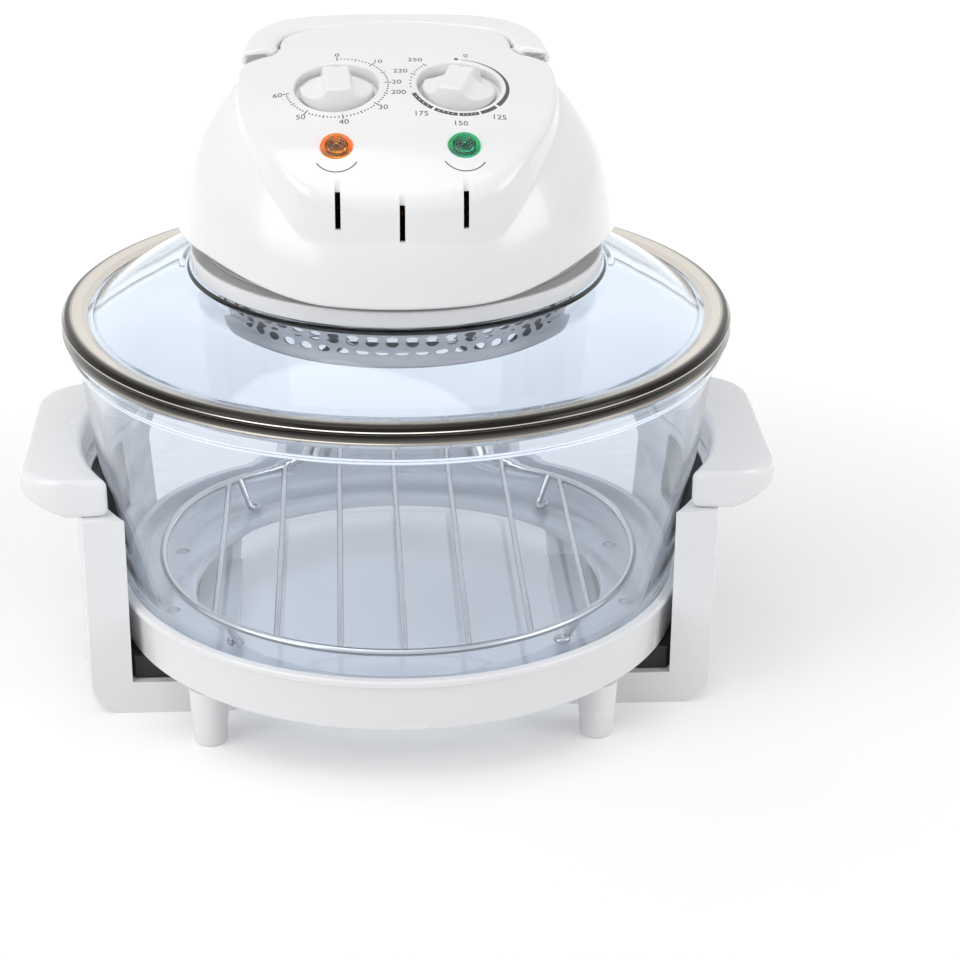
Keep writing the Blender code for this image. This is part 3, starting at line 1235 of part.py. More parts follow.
def make_fans():
    """The circulation fan below the pan and the cooling fan above the tray, both on the motor's shaft."""
    bore = SHAFT_RADIUS + GAP
    top = PAN_CEILING - FAN_CEILING_SPACE
    low = top - FAN_HUB_HEIGHT
    rim = FAN_RADIUS - FAN_DISC
    disc_low = top - FAN_DISC
    profile = [(bore, low), (FAN_HUB, low), (FAN_HUB, disc_low), (rim, disc_low), (rim, top), (bore, top)]
    fan = turned("circulation_fan", profile, aluminium, steps=ROUND_TURN)
    weld(fan, blade_ring("fan blades", FAN_RADIUS, 2 * FAN_HUB, top - FAN_BLADE_HEIGHT, top - FAN_DISC / 2,
                         FAN_BLADES, FAN_BLADE_LEAN))
    base = SHIELD_TOP + COOLER_FLOOR_SPACE
    cooler_top = base + COOLER_HEIGHT
    rim = COOLER_RADIUS - FAN_DISC
    disc_top = base + FAN_DISC
    profile = [(bore, base), (rim, base), (rim, disc_top), (FAN_HUB, disc_top), (FAN_HUB, cooler_top),
               (bore, cooler_top)]
    cooler = turned("cooling_fan", profile, dark_plastic, steps=ROUND_TURN // 2)
    weld(cooler, blade_ring("cooler blades", COOLER_RADIUS, 3 * FAN_HUB / 2, base + FAN_DISC / 2, cooler_top,
                            COOLER_BLADES, COOLER_BLADE_LEAN))
    return low


def make_bridge():
    """The bent strip that carries the motor over the cooling fan, and the bar on top of the stator."""
    outer, skin, top = BRIDGE_SPAN, BRIDGE_SKIN, BRIDGE_TOP
    foot = BRIDGE_WIDTH / 2
    outline = [(-outer - foot, BRIDGE_BASE), (-outer + skin, BRIDGE_BASE), (-outer + skin, top - skin),
               (outer - skin, top - skin), (outer - skin, BRIDGE_BASE), (outer + foot, BRIDGE_BASE),
               (outer + foot, BRIDGE_BASE + skin), (outer, BRIDGE_BASE + skin), (outer, top), (-outer, top),
               (-outer, BRIDGE_BASE + skin), (-outer - foot, BRIDGE_BASE + skin)]
    half = BRIDGE_WIDTH / 2
    strip = loft([[(x, y, z) for x, z in outline] for y in (-half, half)])
    bridge = as_object("motor_bridge", strip, sheet_steel)
    cap_size = (CAP_BAR_LENGTH, BRIDGE_WIDTH, skin)
    cap = block("motor_cap_bar", cap_size, (0, 0, (CAP_BASE + CAP_TOP) / 2), sheet_steel)
    bore = SHAFT_RADIUS + 2 * GAP
    for piece, low, high in ((bridge, top - 2 * skin, top + skin), (cap, CAP_BASE - skin, CAP_TOP + skin)):
        cut(piece, guide_drum("shaft hole", upright((0, 0, 0)), bore, low, high))


def make_stator():
    """The stator with the rotor's bore and a window for the coil, and the coil on its back limb."""
    half = STATOR_WIDTH / 2
    back = STATOR_BODY / 2 + STATOR_YOKE
    front = -STATOR_BODY / 2
    outline = [(-half, front), (half, front), (half, back), (-half, back)]
    stator = prism("motor_stator", outline, STATOR_BASE, STATOR_TOP, laminate)
    side, near, far = half - STATOR_LIMB, STATOR_BODY / 2, back - STATOR_LIMB
    low, high = STATOR_BASE - OVERRUN, STATOR_TOP + OVERRUN
    opening = [(-side, near), (side, near), (side, far), (-side, far)]
    window = prism("coil window", opening, low, high, laminate)
    bore = guide_drum("rotor bore", upright((0, 0, 0)), ROTOR_RADIUS + ROTOR_AIR, low, high, ROUND_TURN // 2)
    cut(stator, window, bore)
    limb_y = back - STATOR_LIMB / 2
    middle = (STATOR_BASE + STATOR_TOP) / 2
    inner = (STATOR_LIMB / 2 + GAP, STATOR_HEIGHT / 2 + GAP)
    coil = block("motor_coil", (COIL_LENGTH, 2 * (inner[0] + COIL_BUILD), 2 * (inner[1] + COIL_BUILD)),
                 (0, limb_y, middle), copper)
    soften(coil, COIL_BUILD / 3)
    core = (2 * COIL_LENGTH, 2 * inner[0], 2 * inner[1])
    cut(coil, block("coil core", core, (0, limb_y, middle), copper))


def make_shaft(fan_low):
    """The motor's shaft, its rotor core and its two bearings."""
    upper_base = CAP_TOP + GAP
    top = upper_base + BEARING_HEIGHT + SHAFT_TOP_SPACE
    shaft = drum_profile(SHAFT_RADIUS, fan_low - SHAFT_RADIUS, top)
    turned("motor_shaft", shaft, sheet_steel, steps=SMALL_TURN)
    bore = SHAFT_RADIUS + GAP
    core = tube_profile(bore, ROTOR_RADIUS, STATOR_BASE + ROTOR_AIR, STATOR_TOP - ROTOR_AIR)
    turned("rotor_core", core, laminate, steps=ROUND_TURN // 2)
    lower_top = BRIDGE_TOP - BRIDGE_SKIN - GAP
    for name, low in (("lower", lower_top - BEARING_HEIGHT), ("upper", upper_base)):
        turned(f"{name}_bearing", tube_profile(bore, BEARING_HOUSING, low, low + BEARING_HEIGHT), copper,
               steps=SMALL_TURN)


def make_terminal_and_gland():
    """The terminal block on the tray's floor and the empty cord gland in the cover's back."""
    terminal = block("terminal_block", (TERMINAL_LENGTH, TERMINAL_WIDTH, TERMINAL_HEIGHT),
                     (0, TERMINAL_Y, SHIELD_TOP + GAP + TERMINAL_HEIGHT / 2), ceramic)
    soften(terminal, BRIDGE_SKIN / 2, segments=1)
    low, high = -GLAND_INSIDE, GLAND_PROUD
    seat = 2 * GAP
    profile = [(GLAND_BORE, low), (GLAND_RADIUS, low), (GLAND_RADIUS, seat), (GLAND_FLANGE, seat),
               (GLAND_FLANGE, seat + GLAND_FLANGE_THICK), (GLAND_RADIUS, seat + GLAND_FLANGE_THICK),
               ((GLAND_RADIUS + GLAND_BORE) / 2, high), (GLAND_BORE, high)]
    gland = turned("cord_gland", profile, plastic, steps=SMALL_TURN)
    gland.matrix_world = gland_frame()


def build():
    """Clears the scene and makes every piece."""
    for old in list(bpy.data.objects):
        bpy.data.objects.remove(old)
    make_legs()
    make_base_ring()
    for side in (-1, 1):
        make_bracket(side)
        make_grip(side)
        make_strap(side)
        make_liner(side)
    make_screws()
    make_bowl()
    make_rack()
    make_lid_glass()
    make_band()
    make_collar()
    make_tray()
    make_cover()
    make_handle()
    make_safety_switch()
    make_knob("timer_knob", -DIAL_X)
    make_knob("thermostat_knob", DIAL_X)
    make_timer()
    make_thermostat()
    make_lamp("power", -LAMP_X, amber)
    make_lamp("heat", LAMP_X, green)
    make_reflector()
    make_guard()
    make_tube()
    make_shield_and_clamps()
    make_bridge()
    make_stator()
    make_shaft(make_fans())
    make_terminal_and_gland()


build()
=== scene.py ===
# %% [markdown]
# A halogen oven stands on a table: a glass bowl in a white ringed stand, and on the bowl a glass lid that
# carries the heating head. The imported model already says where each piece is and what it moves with. The
# fine surfaces could carry numbers of their own, but a piece that starts from its node's box stays in step
# with the working model, so the boxes are read first.

# %% Load the frame
import json

import bmesh
import bpy
import numpy as np
from mathutils import Matrix, Vector

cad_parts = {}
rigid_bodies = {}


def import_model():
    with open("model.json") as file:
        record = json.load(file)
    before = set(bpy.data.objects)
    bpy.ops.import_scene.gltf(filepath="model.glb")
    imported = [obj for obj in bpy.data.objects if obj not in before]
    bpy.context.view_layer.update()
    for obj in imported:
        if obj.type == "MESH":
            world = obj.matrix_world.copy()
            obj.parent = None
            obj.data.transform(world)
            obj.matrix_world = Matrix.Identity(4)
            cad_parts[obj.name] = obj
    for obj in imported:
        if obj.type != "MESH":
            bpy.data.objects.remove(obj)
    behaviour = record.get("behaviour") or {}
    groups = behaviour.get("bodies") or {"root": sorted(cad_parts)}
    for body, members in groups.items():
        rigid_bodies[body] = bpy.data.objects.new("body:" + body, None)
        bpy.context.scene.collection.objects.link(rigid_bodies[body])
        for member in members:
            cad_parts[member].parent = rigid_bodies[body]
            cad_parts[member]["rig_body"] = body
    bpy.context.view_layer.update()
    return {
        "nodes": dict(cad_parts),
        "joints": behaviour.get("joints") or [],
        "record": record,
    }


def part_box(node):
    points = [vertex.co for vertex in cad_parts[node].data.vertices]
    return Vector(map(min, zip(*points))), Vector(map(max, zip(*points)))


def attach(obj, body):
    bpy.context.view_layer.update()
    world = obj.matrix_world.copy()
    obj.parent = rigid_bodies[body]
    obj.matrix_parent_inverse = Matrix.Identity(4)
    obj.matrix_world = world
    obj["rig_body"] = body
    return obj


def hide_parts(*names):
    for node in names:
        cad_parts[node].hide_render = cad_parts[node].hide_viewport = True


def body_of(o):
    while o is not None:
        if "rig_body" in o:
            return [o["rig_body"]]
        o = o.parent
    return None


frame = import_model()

slot_of = {part["node"]: part["material_slot"] for part in frame["record"]["subparts"]}


def box_of(node):
    """A node's lowest and highest corner as arrays."""
    low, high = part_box(node)
    return np.array(low), np.array(high)


# %% [markdown]
# Most of the oven is moulded or turned, so its outlines are straight runs with round corners, or easy
# curves through a few points. Blender has curve objects for that, but a profile kept as a plain array can
# be offset, measured and carried along any path, so two small functions make every outline here.

# %% Outlines
# Points closer than MERGE are one point. SPAN_STEPS is how finely one span of a curve is worked out.
MERGE = 0.000002
SPAN_STEPS = 24


def evenly(points, count, closed=False):
    """Points at equal steps of length along a polyline: each coordinate is read against the length so far."""
    lengths = np.linalg.norm(np.diff(points, axis=0), axis=1)
    along = np.concatenate([[0.0], np.cumsum(lengths)])
    places = np.linspace(0, along[-1], count, endpoint=not closed)
    return np.stack([np.interp(places, along, column) for column in points.T], axis=1)


def smooth_curve(points, count, closed=False):
    """Points at equal steps of length along a smooth curve through given points.

    A span from A to B is the cubic (2t^3 - 3t^2 + 1) A + (t^3 - 2t^2 + t) L U + (3t^2 - 2t^3) B
    + (t^3 - t^2) L V, where L is the chord's length and U and V are the slopes at its ends. A slope is
    the mean of the two chords' slopes beside it, weighted towards the shorter chord.
    """
    points = np.asarray(points, float)
    if closed:
        points = np.concatenate([points[-1:], points, points[:2]])
    chords = np.diff(points, axis=0)
    lengths = np.linalg.norm(chords, axis=1, keepdims=True)
    slopes = chords / lengths
    beside = (slopes[:-1] * lengths[1:] + slopes[1:] * lengths[:-1]) / (lengths[:-1] + lengths[1:])
    if closed:
        knots, lengths, slopes = points[1:-1], lengths[1:-1], beside
    else:
        knots, slopes = points, np.concatenate([slopes[:1], beside, slopes[-1:]])
    t = np.linspace(0, 1, SPAN_STEPS, endpoint=False)[None, :, None]
    start, end = knots[:-1, None], knots[1:, None]
    leaving, arriving = slopes[:-1, None] * lengths[:, None], slopes[1:, None] * lengths[:, None]
    dense = ((2 * t ** 3 - 3 * t ** 2 + 1) * start + (t ** 3 - 2 * t ** 2 + t) * leaving
             + (3 * t ** 2 - 2 * t ** 3) * end + (t ** 3 - t ** 2) * arriving)
    dense = np.concatenate([dense.reshape(-1, points.shape[1]), knots[-1:]])
    return evenly(dense, count, closed)


def rounded(corners, steps=6):
    """A closed outline of (a, b, radius) corners, each turned into an arc of its radius.

    With unit vectors to the two neighbours and half the angle between them, the arc's centre is at
    radius / sin(half) on the bisector, and the arc's points are spread between its two ends by
    (sin((1 - t) w) S + sin(t w) E) / sin(w), where w is the arc's angle.
    """
    corners = np.array(corners, float)
    point, radius = corners[:, :2], corners[:, 2:]
    back = np.roll(point, 1, axis=0) - point
    ahead = np.roll(point, -1, axis=0) - point
    back /= np.linalg.norm(back, axis=1, keepdims=True)
    ahead /= np.linalg.norm(ahead, axis=1, keepdims=True)
    half = np.arccos(np.clip((back * ahead).sum(axis=1, keepdims=True), -1, 1)) / 2
    middle = back + ahead
    middle /= np.maximum(np.linalg.norm(middle, axis=1, keepdims=True), MERGE)
    centre = point + middle * radius / np.sin(half)
    start = point + back * radius / np.tan(half) - centre
    end = point + ahead * radius / np.tan(half) - centre
    sweep = np.maximum(np.pi - 2 * half, MERGE)[:, None]
    t = np.linspace(0, 1, steps + 1)[None, :, None]
    arcs = (np.sin((1 - t) * sweep) * start[:, None] + np.sin(t * sweep) * end[:, None]) / np.sin(sweep)
    outline = (centre[:, None] + arcs).reshape(-1, 2)
    return outline[np.linalg.norm(outline - np.roll(outline, 1, axis=0), axis=1) > MERGE]


def sharp(points):
    """Points of a curve as corners without a radius, to be used among rounded ones."""
    return np.column_stack([points, np.zeros(len(points))]).tolist()


unit_square = [(0, 0, 0.2), (1, 0, 0.2), (1, 1, 0.2), (0, 1, 0.2)]
print("a square with round corners has", len(rounded(unit_square)), "points")

# %% [markdown]
# Every surface below is a sheet of points with two counts, rows and columns. A lathe shape turns one
# profile about the oven's axis, and a moulding carries a section along a path, but both end as the same
# sheet, so one function makes the mesh. It also keeps the two counts as a UV map, which lets a finish
# follow the profile.

# %% Surfaces
LATHE_STEPS = 192
SMALL_STEPS = 32
SHARP_ANGLE = 35.0


def tidied(mesh, sharp_angle=SHARP_ANGLE):
    """Merges points that coincide, turns the faces outward and shades the mesh smooth."""
    edit = bmesh.new()
    edit.from_mesh(mesh)
    bmesh.ops.remove_doubles(edit, verts=edit.verts, dist=MERGE)
    bmesh.ops.dissolve_degenerate(edit, edges=edit.edges, dist=MERGE)
    bmesh.ops.recalc_face_normals(edit, faces=edit.faces)
    edit.to_mesh(mesh)
    edit.free()
    mesh.shade_smooth()
    mesh.set_sharp_from_angle(angle=np.radians(sharp_angle))
    return mesh


def sheet_mesh(name, rows, across=True, along=False, capped=False, sharp_angle=SHARP_ANGLE):
    """A mesh from points in rows and columns: each quad joins four neighbours.

    The last column meets the first where across is true, the last row meets the first where along is
    true, and a capped sheet has a face over its first and last row.
    """
    rows = np.asarray(rows, float)
    count, width = rows.shape[:2]
    index = np.arange(count * width).reshape(count, width)
    row, column = np.meshgrid(np.arange(count if along else count - 1),
                              np.arange(width if across else width - 1), indexing="ij")
    corner_rows = np.stack([row, row, row + 1, row + 1], axis=-1)
    corner_columns = np.stack([column, column + 1, column + 1, column], axis=-1)
    quads = index[corner_rows % count, corner_columns % width].reshape(-1, 4)
    caps = [index[0, ::-1].tolist(), index[-1].tolist()] if capped else []
    mesh = bpy.data.meshes.new(name)
    mesh.from_pydata(rows.reshape(-1, 3), [], quads.tolist() + caps)
    places = np.zeros((len(mesh.loops), 2))
    places[:quads.size, 0] = (corner_columns / (width if across else width - 1)).reshape(-1)
    places[:quads.size, 1] = (corner_rows / (count if along else count - 1)).reshape(-1)
    mesh.uv_layers.new(name="UVMap").data.foreach_set("uv", places.reshape(-1))
    return tidied(mesh, sharp_angle)


def turned(name, profile, steps=LATHE_STEPS, sharp_angle=SHARP_ANGLE):
    """A lathe shape: a profile point (r, z) goes to (r cos a, r sin a, z) for every angle a."""
    profile = np.asarray(profile, float)
    angle = np.linspace(0, 2 * np.pi, steps, endpoint=False)[None]
    radius, height = profile[:, :1], profile[:, 1:]
    rows = np.stack([radius * np.cos(angle), radius * np.sin(angle), height + 0 * angle], axis=-1)
    hollow = profile[:, 0].min() > MERGE
    return sheet_mesh(name, rows, along=hollow, sharp_angle=sharp_angle)


print("a small ring has", len(turned("test ring", [(1, 0), (2, 0), (2, 1)], 8).polygons), "faces")

# %% [markdown]
# The oven's rack is bent wire. A curve object with a round bevel would draw one too, but its circles turn
# as they like round a bend. Here they are worked out like the other sheets, and each piece of wire is a
# closed mesh from the start.

# %% Wires
def tube_along(name, path, radius, sides=16, closed=False):
    """A round wire: circles of a radius, square to the path, in a frame that turns as little as it can.

    The frame's first axis is the part of a fixed direction that is square to the path's slope T, and the
    second is T x first. A point is P + radius (cos b first + sin b second).
    """
    path = np.asarray(path, float)
    slope = np.roll(path, -1, axis=0) - np.roll(path, 1, axis=0) if closed else np.gradient(path, axis=0)
    slope /= np.linalg.norm(slope, axis=1, keepdims=True)
    steady = np.eye(3)[np.argmin(np.abs(slope).max(axis=0))]
    first = steady - slope * (slope @ steady)[:, None]
    first /= np.linalg.norm(first, axis=1, keepdims=True)
    second = np.cross(slope, first)
    turn = np.linspace(0, 2 * np.pi, sides, endpoint=False)[None, :, None]
    radius = np.broadcast_to(np.asarray(radius, float), (len(path),))[:, None, None]
    rows = path[:, None] + radius * (np.cos(turn) * first[:, None] + np.sin(turn) * second[:, None])
    return sheet_mesh(name, rows, along=closed, capped=not closed)


print("a straight wire has", len(tube_along("test wire", [(0, 0, 0), (0, 0, 1)], 1, 8).polygons), "faces")

# %% [markdown]
# Some forms are easier to cut than to draw: a screw pocket, a vent, a slot. Blender's Boolean modifier
# takes one closed mesh out of another, or adds it. A single cut with many tools joined in one mesh is
# quicker than many cuts, so joining and placing belong to the same set of helpers.

# %% Joining and cutting
def joined(name, meshes):
    """Several closed meshes in one, none of them changed."""
    whole = bmesh.new()
    for mesh in meshes:
        whole.from_mesh(mesh)
    made = bpy.data.meshes.new(name)
    whole.to_mesh(made)
    whole.free()
    return made


def placed(mesh, matrix):
    """The mesh with its points moved by a matrix."""
    mesh.transform(Matrix(matrix))
    return mesh


def carved(mesh, tool, operation="DIFFERENCE"):
    """A closed mesh with another taken out of it, or added to it."""
    body = bpy.data.objects.new("work piece", mesh)
    guide = bpy.data.objects.new("tool", tool)
    for shape in (body, guide):
        bpy.context.scene.collection.objects.link(shape)
    change = body.modifiers.new("change", "BOOLEAN")
    change.operation = operation
    change.object = guide
    bpy.context.view_layer.update()
    made = bpy.data.meshes.new_from_object(body.evaluated_get(bpy.context.evaluated_depsgraph_get()))
    for shape in (body, guide):
        bpy.data.objects.remove(shape)
    return made


# %% [markdown]
# Real plastic, steel and glass are never one even colour: a moulding has a faint grain and slow changes of
# gloss, and turned metal has fine rings. These effects are needed by many finishes, so each is a node
# group with its own inputs. The groups put out colours and numbers only, and the shaders stay in the
# materials.

# %% Shared effects
BROAD_SCALE = 22.0
RING_SMEAR = 0.002


def new_group(name, inputs, outputs):
    """An empty node group with named sockets, and its nodes for what comes in and goes out."""
    group = bpy.data.node_groups.new(name, "ShaderNodeTree")
    for title, kind, value in inputs:
        socket = group.interface.new_socket(title, in_out="INPUT", socket_type=kind)
        socket.default_value = value
    for title, kind in outputs:
        group.interface.new_socket(title, in_out="OUTPUT", socket_type=kind)
    return group, group.nodes.new("NodeGroupInput"), group.nodes.new("NodeGroupOutput")


def math_node(tree, operation, first, second):
    """A Math node whose inputs are sockets or numbers, and its output."""
    node = tree.nodes.new("ShaderNodeMath")
    node.operation = operation
    for socket, value in zip(node.inputs, (first, second)):
        if isinstance(value, bpy.types.NodeSocket):
            tree.links.new(value, socket)
        else:
            socket.default_value = value
    return node.outputs[0]


def noise_node(tree, vector, scale, detail=3.0):
    """A noise texture on a vector, and its output from 0 to 1."""
    node = tree.nodes.new("ShaderNodeTexNoise")
    tree.links.new(vector, node.inputs["Vector"])
    if isinstance(scale, bpy.types.NodeSocket):
        tree.links.new(scale, node.inputs["Scale"])
    else:
        node.inputs["Scale"].default_value = scale
    node.inputs["Detail"].default_value = detail
    return node.outputs["Fac"]


def mixed_colour(tree, share, first, second):
    """A colour mix by a share; the colours are sockets or red, green and blue numbers."""
    node = tree.nodes.new("ShaderNodeMix")
    node.data_type = "RGBA"
    tree.links.new(share, node.inputs["Factor"])
    for socket, value in zip((node.inputs[6], node.inputs[7]), (first, second)):
        if isinstance(value, bpy.types.NodeSocket):
            tree.links.new(value, socket)
        else:
            socket.default_value = (*value, 1.0)
    return node.outputs[2]


def make_moulded_group():
    """A moulding's skin: broad changes of tone and gloss, and a fine grain for the bump."""
    group, entry, leave = new_group(
        "moulded skin",
        [("Vector", "NodeSocketVector", (0, 0, 0)), ("Colour", "NodeSocketColor", (1, 1, 1, 1)),
         ("Second colour", "NodeSocketColor", (1, 1, 1, 1)), ("Roughness", "NodeSocketFloat", 0.3),
         ("Gloss change", "NodeSocketFloat", 0.1), ("Grain scale", "NodeSocketFloat", 900.0)],
        [("Colour", "NodeSocketColor"), ("Roughness", "NodeSocketFloat"), ("Height", "NodeSocketFloat")])
    broad = noise_node(group, entry.outputs["Vector"], BROAD_SCALE)
    fine = noise_node(group, entry.outputs["Vector"], entry.outputs["Grain scale"], 2.0)
    tone = mixed_colour(group, broad, entry.outputs["Colour"], entry.outputs["Second colour"])
    swing = math_node(group, "SUBTRACT", broad, 0.5)
    change = math_node(group, "MULTIPLY", swing, entry.outputs["Gloss change"])
    gloss = math_node(group, "ADD", entry.outputs["Roughness"], change)
    group.links.new(tone, leave.inputs["Colour"])
    group.links.new(gloss, leave.inputs["Roughness"])
    group.links.new(fine, leave.inputs["Height"])
    return group


def make_turned_group():
    """Turning marks: noise read at (radius, height) with only a little of the angle, so it forms rings."""
    group, entry, leave = new_group(
        "turning marks", [("Vector", "NodeSocketVector", (0, 0, 0)), ("Scale", "NodeSocketFloat", 900.0)],
        [("Mark", "NodeSocketFloat")])
    apart = group.nodes.new("ShaderNodeSeparateXYZ")
    group.links.new(entry.outputs["Vector"], apart.inputs[0])
    across = math_node(group, "MULTIPLY", apart.outputs["X"], apart.outputs["X"])
    depth = math_node(group, "MULTIPLY", apart.outputs["Y"], apart.outputs["Y"])
    radius = math_node(group, "SQRT", math_node(group, "ADD", across, depth), 0.0)
    angle = math_node(group, "ARCTAN2", apart.outputs["Y"], apart.outputs["X"])
    together = group.nodes.new("ShaderNodeCombineXYZ")
    group.links.new(radius, together.inputs["X"])
    group.links.new(apart.outputs["Z"], together.inputs["Y"])
    group.links.new(math_node(group, "MULTIPLY", angle, RING_SMEAR), together.inputs["Z"])
    mark = noise_node(group, together.outputs[0], entry.outputs["Scale"], 2.0)
    group.links.new(mark, leave.inputs["Mark"])
    return group


moulded_skin, turning_marks = make_moulded_group(), make_turned_group()
print("effects:", [group.name for group in bpy.data.node_groups])

# %% [markdown]
# A finish is one material. All of them start from the same Principled shader and read object coordinates,
# because each piece keeps its place in its mesh. The white mouldings are a bright glossy plastic, and the
# knobs are a touch lighter. The head's inner base is the same plastic in a more satin finish, its colour
# darkened to grey as painted shade from the cover above it.

# %% Plastic and rubber finishes
COAT_ROUGHNESS = 0.06


def new_finish(name):
    """A material with a Principled shader, and its tree, shader and object coordinates."""
    finish = bpy.data.materials.new(name)
    finish.use_nodes = True
    tree = finish.node_tree
    shader = tree.nodes["Principled BSDF"]
    return finish, tree, shader, tree.nodes.new("ShaderNodeTexCoord").outputs["Object"]


def bumped(tree, shader, height, depth):
    """A bump on the shader's normal from a height between 0 and 1 and a depth in metres."""
    bump = tree.nodes.new("ShaderNodeBump")
    bump.inputs["Distance"].default_value = depth
    tree.links.new(height, bump.inputs["Height"])
    tree.links.new(bump.outputs["Normal"], shader.inputs["Normal"])


def moulded(name, colour, second, roughness, change, grain, depth, coat=0.0):
    """A moulded finish: the moulded skin's colour, gloss and grain on the shader."""
    finish, tree, shader, vector = new_finish(name)
    skin = tree.nodes.new("ShaderNodeGroup")
    skin.node_tree = moulded_skin
    tree.links.new(vector, skin.inputs["Vector"])
    skin.inputs["Colour"].default_value = (*colour, 1.0)
    skin.inputs["Second colour"].default_value = (*second, 1.0)
    skin.inputs["Roughness"].default_value = roughness
    skin.inputs["Gloss change"].default_value = change
    skin.inputs["Grain scale"].default_value = grain
    tree.links.new(skin.outputs["Colour"], shader.inputs["Base Color"])
    tree.links.new(skin.outputs["Roughness"], shader.inputs["Roughness"])
    bumped(tree, shader, skin.outputs["Height"], depth)
    shader.inputs["Coat Weight"].default_value = coat
    shader.inputs["Coat Roughness"].default_value = COAT_ROUGHNESS
    return finish


finishes = {
    "white_plastic": moulded("glossy white plastic", (0.88, 0.88, 0.885), (0.85, 0.85, 0.855),
                             roughness=0.26, change=0.08, grain=700, depth=0.00001, coat=0.35),
    # The head's base is the white plastic darkened to grey: painted shade from the cover above it.
    "base_plastic": moulded("satin white plastic with painted shade", (0.50, 0.50, 0.505), (0.46, 0.46, 0.465),
                            roughness=0.45, change=0.1, grain=900, depth=0.00002),
    "knob_plastic": moulded("white knob plastic", (0.87, 0.87, 0.875), (0.84, 0.84, 0.845),
                            roughness=0.32, change=0.08, grain=800, depth=0.00001, coat=0.2),
    "rubber": moulded("black rubber", (0.012, 0.012, 0.013), (0.022, 0.022, 0.023),
                      roughness=0.62, change=0.2, grain=1500, depth=0.00006),
    "dark_plastic": moulded("dark moulding", (0.045, 0.045, 0.05), (0.06, 0.06, 0.065),
                            roughness=0.5, change=0.15, grain=900, depth=0.00003),
    "ceramic": moulded("unglazed ceramic", (0.82, 0.79, 0.70), (0.76, 0.72, 0.62),
                       roughness=0.75, change=0.2, grain=600, depth=0.00008),
}
print("moulded finishes:", list(finishes))

# %% [markdown]
# The metals differ in how they were made. The guard and the pan are pressed sheet, the rack is plated
# wire, and the lid's band is polished steel with a rolled profile. Its dark flanks between bright crests are
# painted reflections: a colour ramp on the profile's UV coordinate darkens the flanks all round, in place
# of the dark surroundings that a polished band would mirror.

# %% Metal finishes
# Levels of the painted reflection along the band's profile: dark flanks, bright crests.
BAND_PAINTED_REFLECTION_SHARES = [(0.0, 0.8), (0.13, 1.0), (0.155, 0.95), (0.165, 0.12), (0.175, 0.9), (0.19, 0.95),
                    (0.20, 0.06), (0.24, 0.03), (0.315, 0.03), (0.325, 0.8), (0.345, 0.9), (0.355, 0.05),
                    (0.42, 0.04), (0.43, 0.85), (0.455, 0.9), (0.465, 0.03), (0.522, 0.015), (0.526, 0.14),
                    (0.58, 0.5), (0.70, 0.4), (1.0, 0.4)]
BAND_TINT = (1.0, 0.965, 0.91)


def metal(name, colour, second, roughness, change, depth, marks=False, scale=900.0):
    """A metal whose colour, gloss and bump follow turning marks or, without them, a plain noise."""
    finish, tree, shader, vector = new_finish(name)
    if marks:
        rings = tree.nodes.new("ShaderNodeGroup")
        rings.node_tree = turning_marks
        rings.inputs["Scale"].default_value = scale
        tree.links.new(vector, rings.inputs["Vector"])
        mark = rings.outputs["Mark"]
    else:
        mark = noise_node(tree, vector, scale)
    tone = mixed_colour(tree, mark, colour, second)
    tree.links.new(tone, shader.inputs["Base Color"])
    gloss = math_node(tree, "ADD", math_node(tree, "MULTIPLY", mark, change), roughness - change / 2)
    tree.links.new(gloss, shader.inputs["Roughness"])
    shader.inputs["Metallic"].default_value = 1.0
    bumped(tree, shader, mark, depth)
    return finish


def painted_reflection_band_metal():
    """Polished steel for the lid's band, with painted reflections: dark on the flanks of its rolled profile,
    bright on its crests.
    """
    finish = metal("polished band steel with painted reflections", (0.80, 0.78, 0.75), (0.70, 0.68, 0.65),
                   roughness=0.16, change=0.08, depth=0.000004, marks=True, scale=2500.0)
    tree = finish.node_tree
    shader = tree.nodes["Principled BSDF"]
    across = tree.nodes.new("ShaderNodeSeparateXYZ")
    tree.links.new(tree.nodes.new("ShaderNodeUVMap").outputs["UV"], across.inputs[0])
    # This ramp paints the band's reflections into its base colour.
    ramp = tree.nodes.new("ShaderNodeValToRGB")
    tree.links.new(across.outputs["Y"], ramp.inputs["Fac"])
    for place, level in BAND_PAINTED_REFLECTION_SHARES[1:-1]:
        ramp.color_ramp.elements.new(place)
    for element, (place, level) in zip(ramp.color_ramp.elements, BAND_PAINTED_REFLECTION_SHARES):
        element.position = place
        element.color = (*(level * part for part in BAND_TINT), 1.0)
    steel = shader.inputs["Base Color"].links[0].from_socket
    product = tree.nodes.new("ShaderNodeMix")
    product.data_type = "RGBA"
    product.blend_type = "MULTIPLY"
    product.inputs["Factor"].default_value = 1.0
    tree.links.new(steel, product.inputs[6])
    tree.links.new(ramp.outputs["Color"], product.inputs[7])
    tree.links.new(product.outputs[2], shader.inputs["Base Color"])
    return finish


finishes["polished_steel"] = painted_reflection_band_metal()
finishes["rack_wire"] = metal("plated rack wire", (0.66, 0.66, 0.67), (0.58, 0.58, 0.59),
                              roughness=0.22, change=0.1, depth=0.00001, scale=700.0)
# The pressed steel's faint lavender, with less green than red and blue, is a painted reflection.
finishes["sheet_steel"] = metal("pressed sheet steel with painted lavender reflection", (0.58, 0.57, 0.58), (0.50, 0.49, 0.50),
                                roughness=0.34, change=0.12, depth=0.00001, marks=True)
finishes["aluminium"] = metal("bare aluminium", (0.76, 0.76, 0.77), (0.68, 0.68, 0.69),
                              roughness=0.4, change=0.15, depth=0.00001, marks=True)
finishes["copper"] = metal("enamelled copper", (0.62, 0.24, 0.09), (0.48, 0.17, 0.06),
                           roughness=0.35, change=0.15, depth=0.00002, scale=1200.0)
finishes["stator_steel"] = metal("stacked dark steel", (0.24, 0.24, 0.26), (0.16, 0.16, 0.18),
                                 roughness=0.5, change=0.15, depth=0.00002)
print("finishes so far:", len(finishes))
